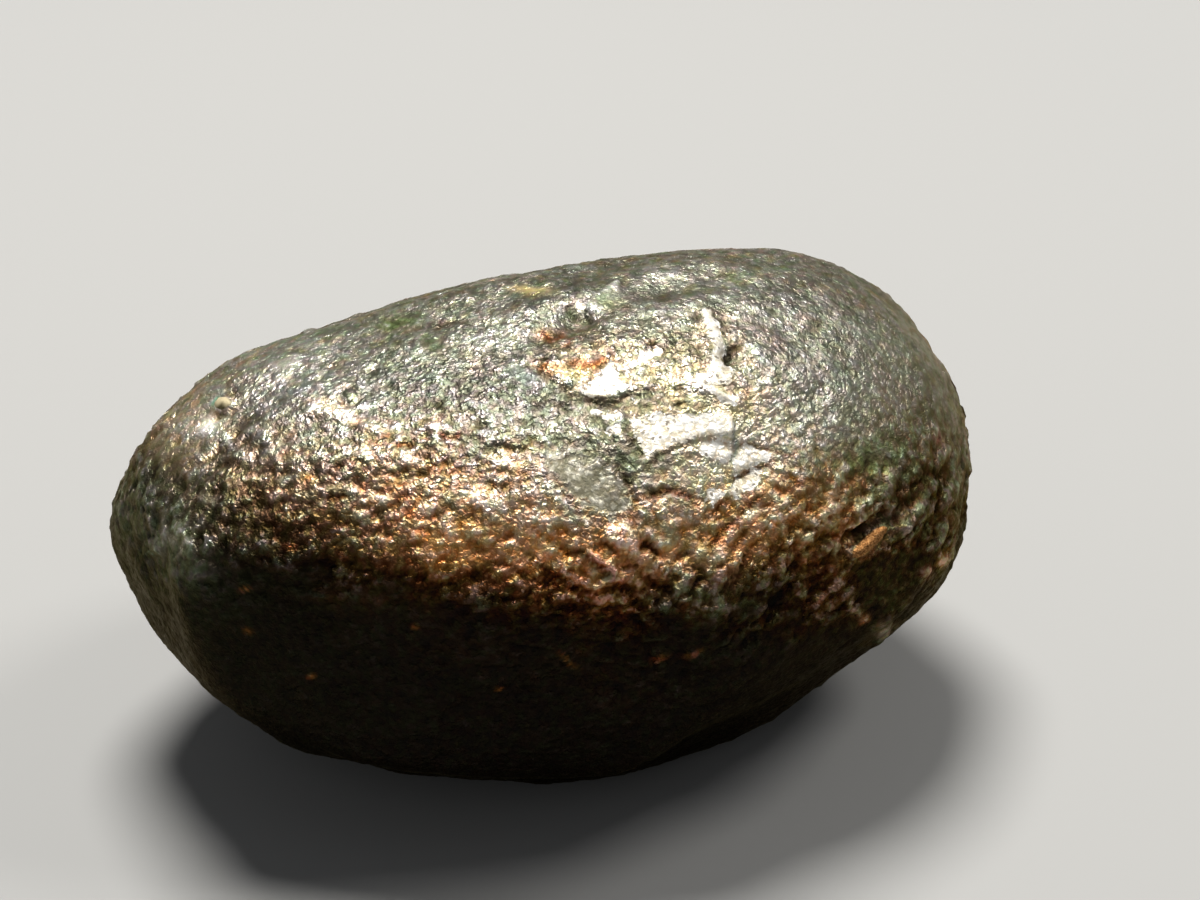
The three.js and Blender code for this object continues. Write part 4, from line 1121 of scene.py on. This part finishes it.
rough = mathn("ADD", rough_v, mathn("MULTIPLY", mathn("MULTIPLY", mathn("SUBTRACT", 0.5, height), 0.5), contrast))
rough = mathn("ADD", rough, mathn("MULTIPLY", mathn("MULTIPLY", mathn("SUBTRACT", s1b, 0.5), 0.16), contrast))
rough = blendf(m_bright, rough, 0.36)
rough = blendf(m_bleb, rough, 0.46)
rough = blendf(m_grain, rough, 0.50)
rough = mathn("MINIMUM", mathn("MAXIMUM", rough, 0.20), 0.85)
metal = blendf(m_bright, metal_v, 0.34)
metal = blendf(m_pale, metal, 0.25)
metal = blendf(m_bleb, metal, 0.92)
metal = blendf(m_grain, metal, 0.05)

# relief finer than the mesh
calm = mathn("MULTIPLY", bump_v, blendf(m_bright, 1.0, 0.50))
calm = mathn("MULTIPLY", calm, blendf(m_pale, 1.0, 0.35))
calm = mathn("MULTIPLY", calm, blendf(m_bleb, 1.0, 0.5))
calm = mathn("MULTIPLY", calm, blendf(m_grain, 1.0, 0.15))
step_up = mathn("ADD", mathn("MULTIPLY", m_bright, 0.10), mathn("ADD", mathn("MULTIPLY", m_bleb, 0.2), mathn("MULTIPLY", m_grain, 0.2)))
bump = node("ShaderNodeBump")
bump.inputs["Strength"].default_value = 1.0
bump.inputs["Distance"].default_value = 0.00024
put(bump.inputs["Height"], mathn("ADD", mathn("MULTIPLY", mathn("ADD", grit, mathn("MULTIPLY", n_long, 0.10)), calm), step_up))
# each grain is a small crystal with a lean of its own, so that some glint
t1 = vecn("SCALE", vecn("SUBTRACT", v1.outputs["Color"], (0.5, 0.5, 0.5)), scale=mathn("MULTIPLY", calm, 0.25))
t2 = vecn("SCALE", vecn("SUBTRACT", v2.outputs["Color"], (0.5, 0.5, 0.5)), scale=mathn("MULTIPLY", calm, 0.07))
t0 = vecn("SCALE", vecn("SUBTRACT", v0.outputs["Color"], (0.5, 0.5, 0.5)), scale=mathn("MULTIPLY", calm, 0.18))
nrm = vecn("NORMALIZE", vecn("ADD", vecn("ADD", bump.outputs["Normal"], t0), vecn("ADD", t1, t2)))

bsdf = node("ShaderNodeBsdfPrincipled")
bsdf.inputs["Specular Tint"].default_value = (0.60, 0.53, 0.38, 1)     # tarnish dulls the sheen at low angles
put(bsdf.inputs["Base Color"], clampc)
put(bsdf.inputs["Roughness"], rough)
put(bsdf.inputs["Metallic"], metal)
put(bsdf.inputs["Normal"], nrm)
out = node("ShaderNodeOutputMaterial")
put(out.inputs["Surface"], bsdf.outputs[0])
mesh.materials.append(mat)

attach(nugget, "root")
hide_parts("nugget")

# ---------------------------------------------------------- floor and light
LIGHTS = (("key", (-0.02, 0.30, 1.0), 0.34, 0.14, 1.73, (1.0, 0.985, 0.955)),
          ("side", (0.75, -0.05, 0.95), 0.42, 0.14, 0.60, (1.0, 0.98, 0.95)),
          ("fill", (-0.5, -1.0, 0.75), 0.5, 0.35, 0.10, (0.92, 0.95, 1.0)))
FLOOR = np.array([0.40, 0.397, 0.387])
SKY = np.array([0.80, 0.82, 0.85]) * 0.12

# a wide round floor; further out than the lamps reach it is made up to the
# same paleness for the eye, so that it has no dark far end
rings = np.concatenate([[0.0], np.geomspace(0.02, 4.0, 70)])
turns = np.linspace(0, 2 * math.pi, 72, endpoint=False)
spots = np.array([(r * math.cos(t), r * math.sin(t), 0.0) for r in rings[1:] for t in turns] + [(0.0, 0.0, 0.0)])
nt_ = len(turns)
faces = [(i * nt_ + j, (i + 1) * nt_ + j, (i + 1) * nt_ + (j + 1) % nt_, i * nt_ + (j + 1) % nt_) for i in range(len(rings) - 2) for j in range(nt_)]
faces += [(len(spots) - 1, j, (j + 1) % nt_) for j in range(nt_)]
fm = bpy.data.meshes.new("floor")
fm.from_pydata(spots.tolist(), [], faces)
lit = FLOOR * SKY
for _, way, distance, _, watts, colour in LIGHTS:
    way = np.array(way) / np.linalg.norm(way)
    to = spots - (way * distance + np.array([0, 0, 0.010]))
    d2 = (to ** 2).sum(1)
    cos_lamp = np.clip(-(to @ way) / np.sqrt(d2), 0, 1)
    cos_floor = np.clip(-to[:, 2] / np.sqrt(d2), 0, 1)
    lit = lit + (watts * cos_lamp * cos_floor / (math.pi ** 2 * d2))[:, None] * FLOOR * np.array(colour)
PALE = np.array([0.735, 0.722, 0.688])
glow = np.clip(PALE - lit, 0, 1) * smooth(0.045, 0.11, np.hypot(spots[:, 0], spots[:, 1]))[:, None]
glow_a = fm.attributes.new("glow", "FLOAT_COLOR", "POINT")
glow_a.data.foreach_set("color", np.column_stack([glow, np.ones(len(glow))]).astype(np.float32).ravel())
floor = bpy.data.objects.new("floor", fm)
bpy.context.scene.collection.objects.link(floor)
fmat = bpy.data.materials.new("floor_pale")
fmat.use_nodes = True
ft = fmat.node_tree
fb = ft.nodes["Principled BSDF"]
fb.inputs["Base Color"].default_value = (*FLOOR, 1)
fb.inputs["Roughness"].default_value = 0.9
fb.inputs["Specular IOR Level"].default_value = 0.2
f_glow = ft.nodes.new("ShaderNodeAttribute")
f_glow.attribute_name = "glow"
f_path = ft.nodes.new("ShaderNodeLightPath")
ft.links.new(f_glow.outputs["Color"], fb.inputs["Emission Color"])
ft.links.new(f_path.outputs["Is Camera Ray"], fb.inputs["Emission Strength"])
fm.materials.append(fmat)

world = bpy.data.worlds.new("studio")
world.use_nodes = True
wt = world.node_tree
w_path = wt.nodes.new("ShaderNodeLightPath")
w_mix = wt.nodes.new("ShaderNodeMix")
w_mix.data_type = "RGBA"
wt.links.new(w_path.outputs["Is Camera Ray"], w_mix.inputs["Factor"])
[s for s in w_mix.inputs if s.name == "A" and s.type == "RGBA"][0].default_value = (*SKY, 1)
[s for s in w_mix.inputs if s.name == "B" and s.type == "RGBA"][0].default_value = (*PALE, 1)
wt.links.new([s for s in w_mix.outputs if s.type == "RGBA"][0], wt.nodes["Background"].inputs["Color"])
wt.nodes["Background"].inputs["Strength"].default_value = 1.0
bpy.context.scene.world = world


def area(name, direction, distance, size, watts, colour=(1, 1, 1)):
    d = np.array(direction, float)
    d /= np.linalg.norm(d)
    ld = bpy.data.lights.new(name, "AREA")
    ld.shape = "DISK"
    ld.size = size
    ld.energy = watts
    ld.color = colour
    o = bpy.data.objects.new(name, ld)
    bpy.context.scene.collection.objects.link(o)
    place = Vector(d * distance) + Vector((0, 0, 0.010))
    o.location = place
    o.rotation_euler = Vector(d).to_track_quat("Z", "Y").to_euler()
    return o


for lamp in LIGHTS:
    area(*lamp)

scene = bpy.context.scene
scene.view_settings.view_transform = "Standard"
scene.view_settings.look = "None"
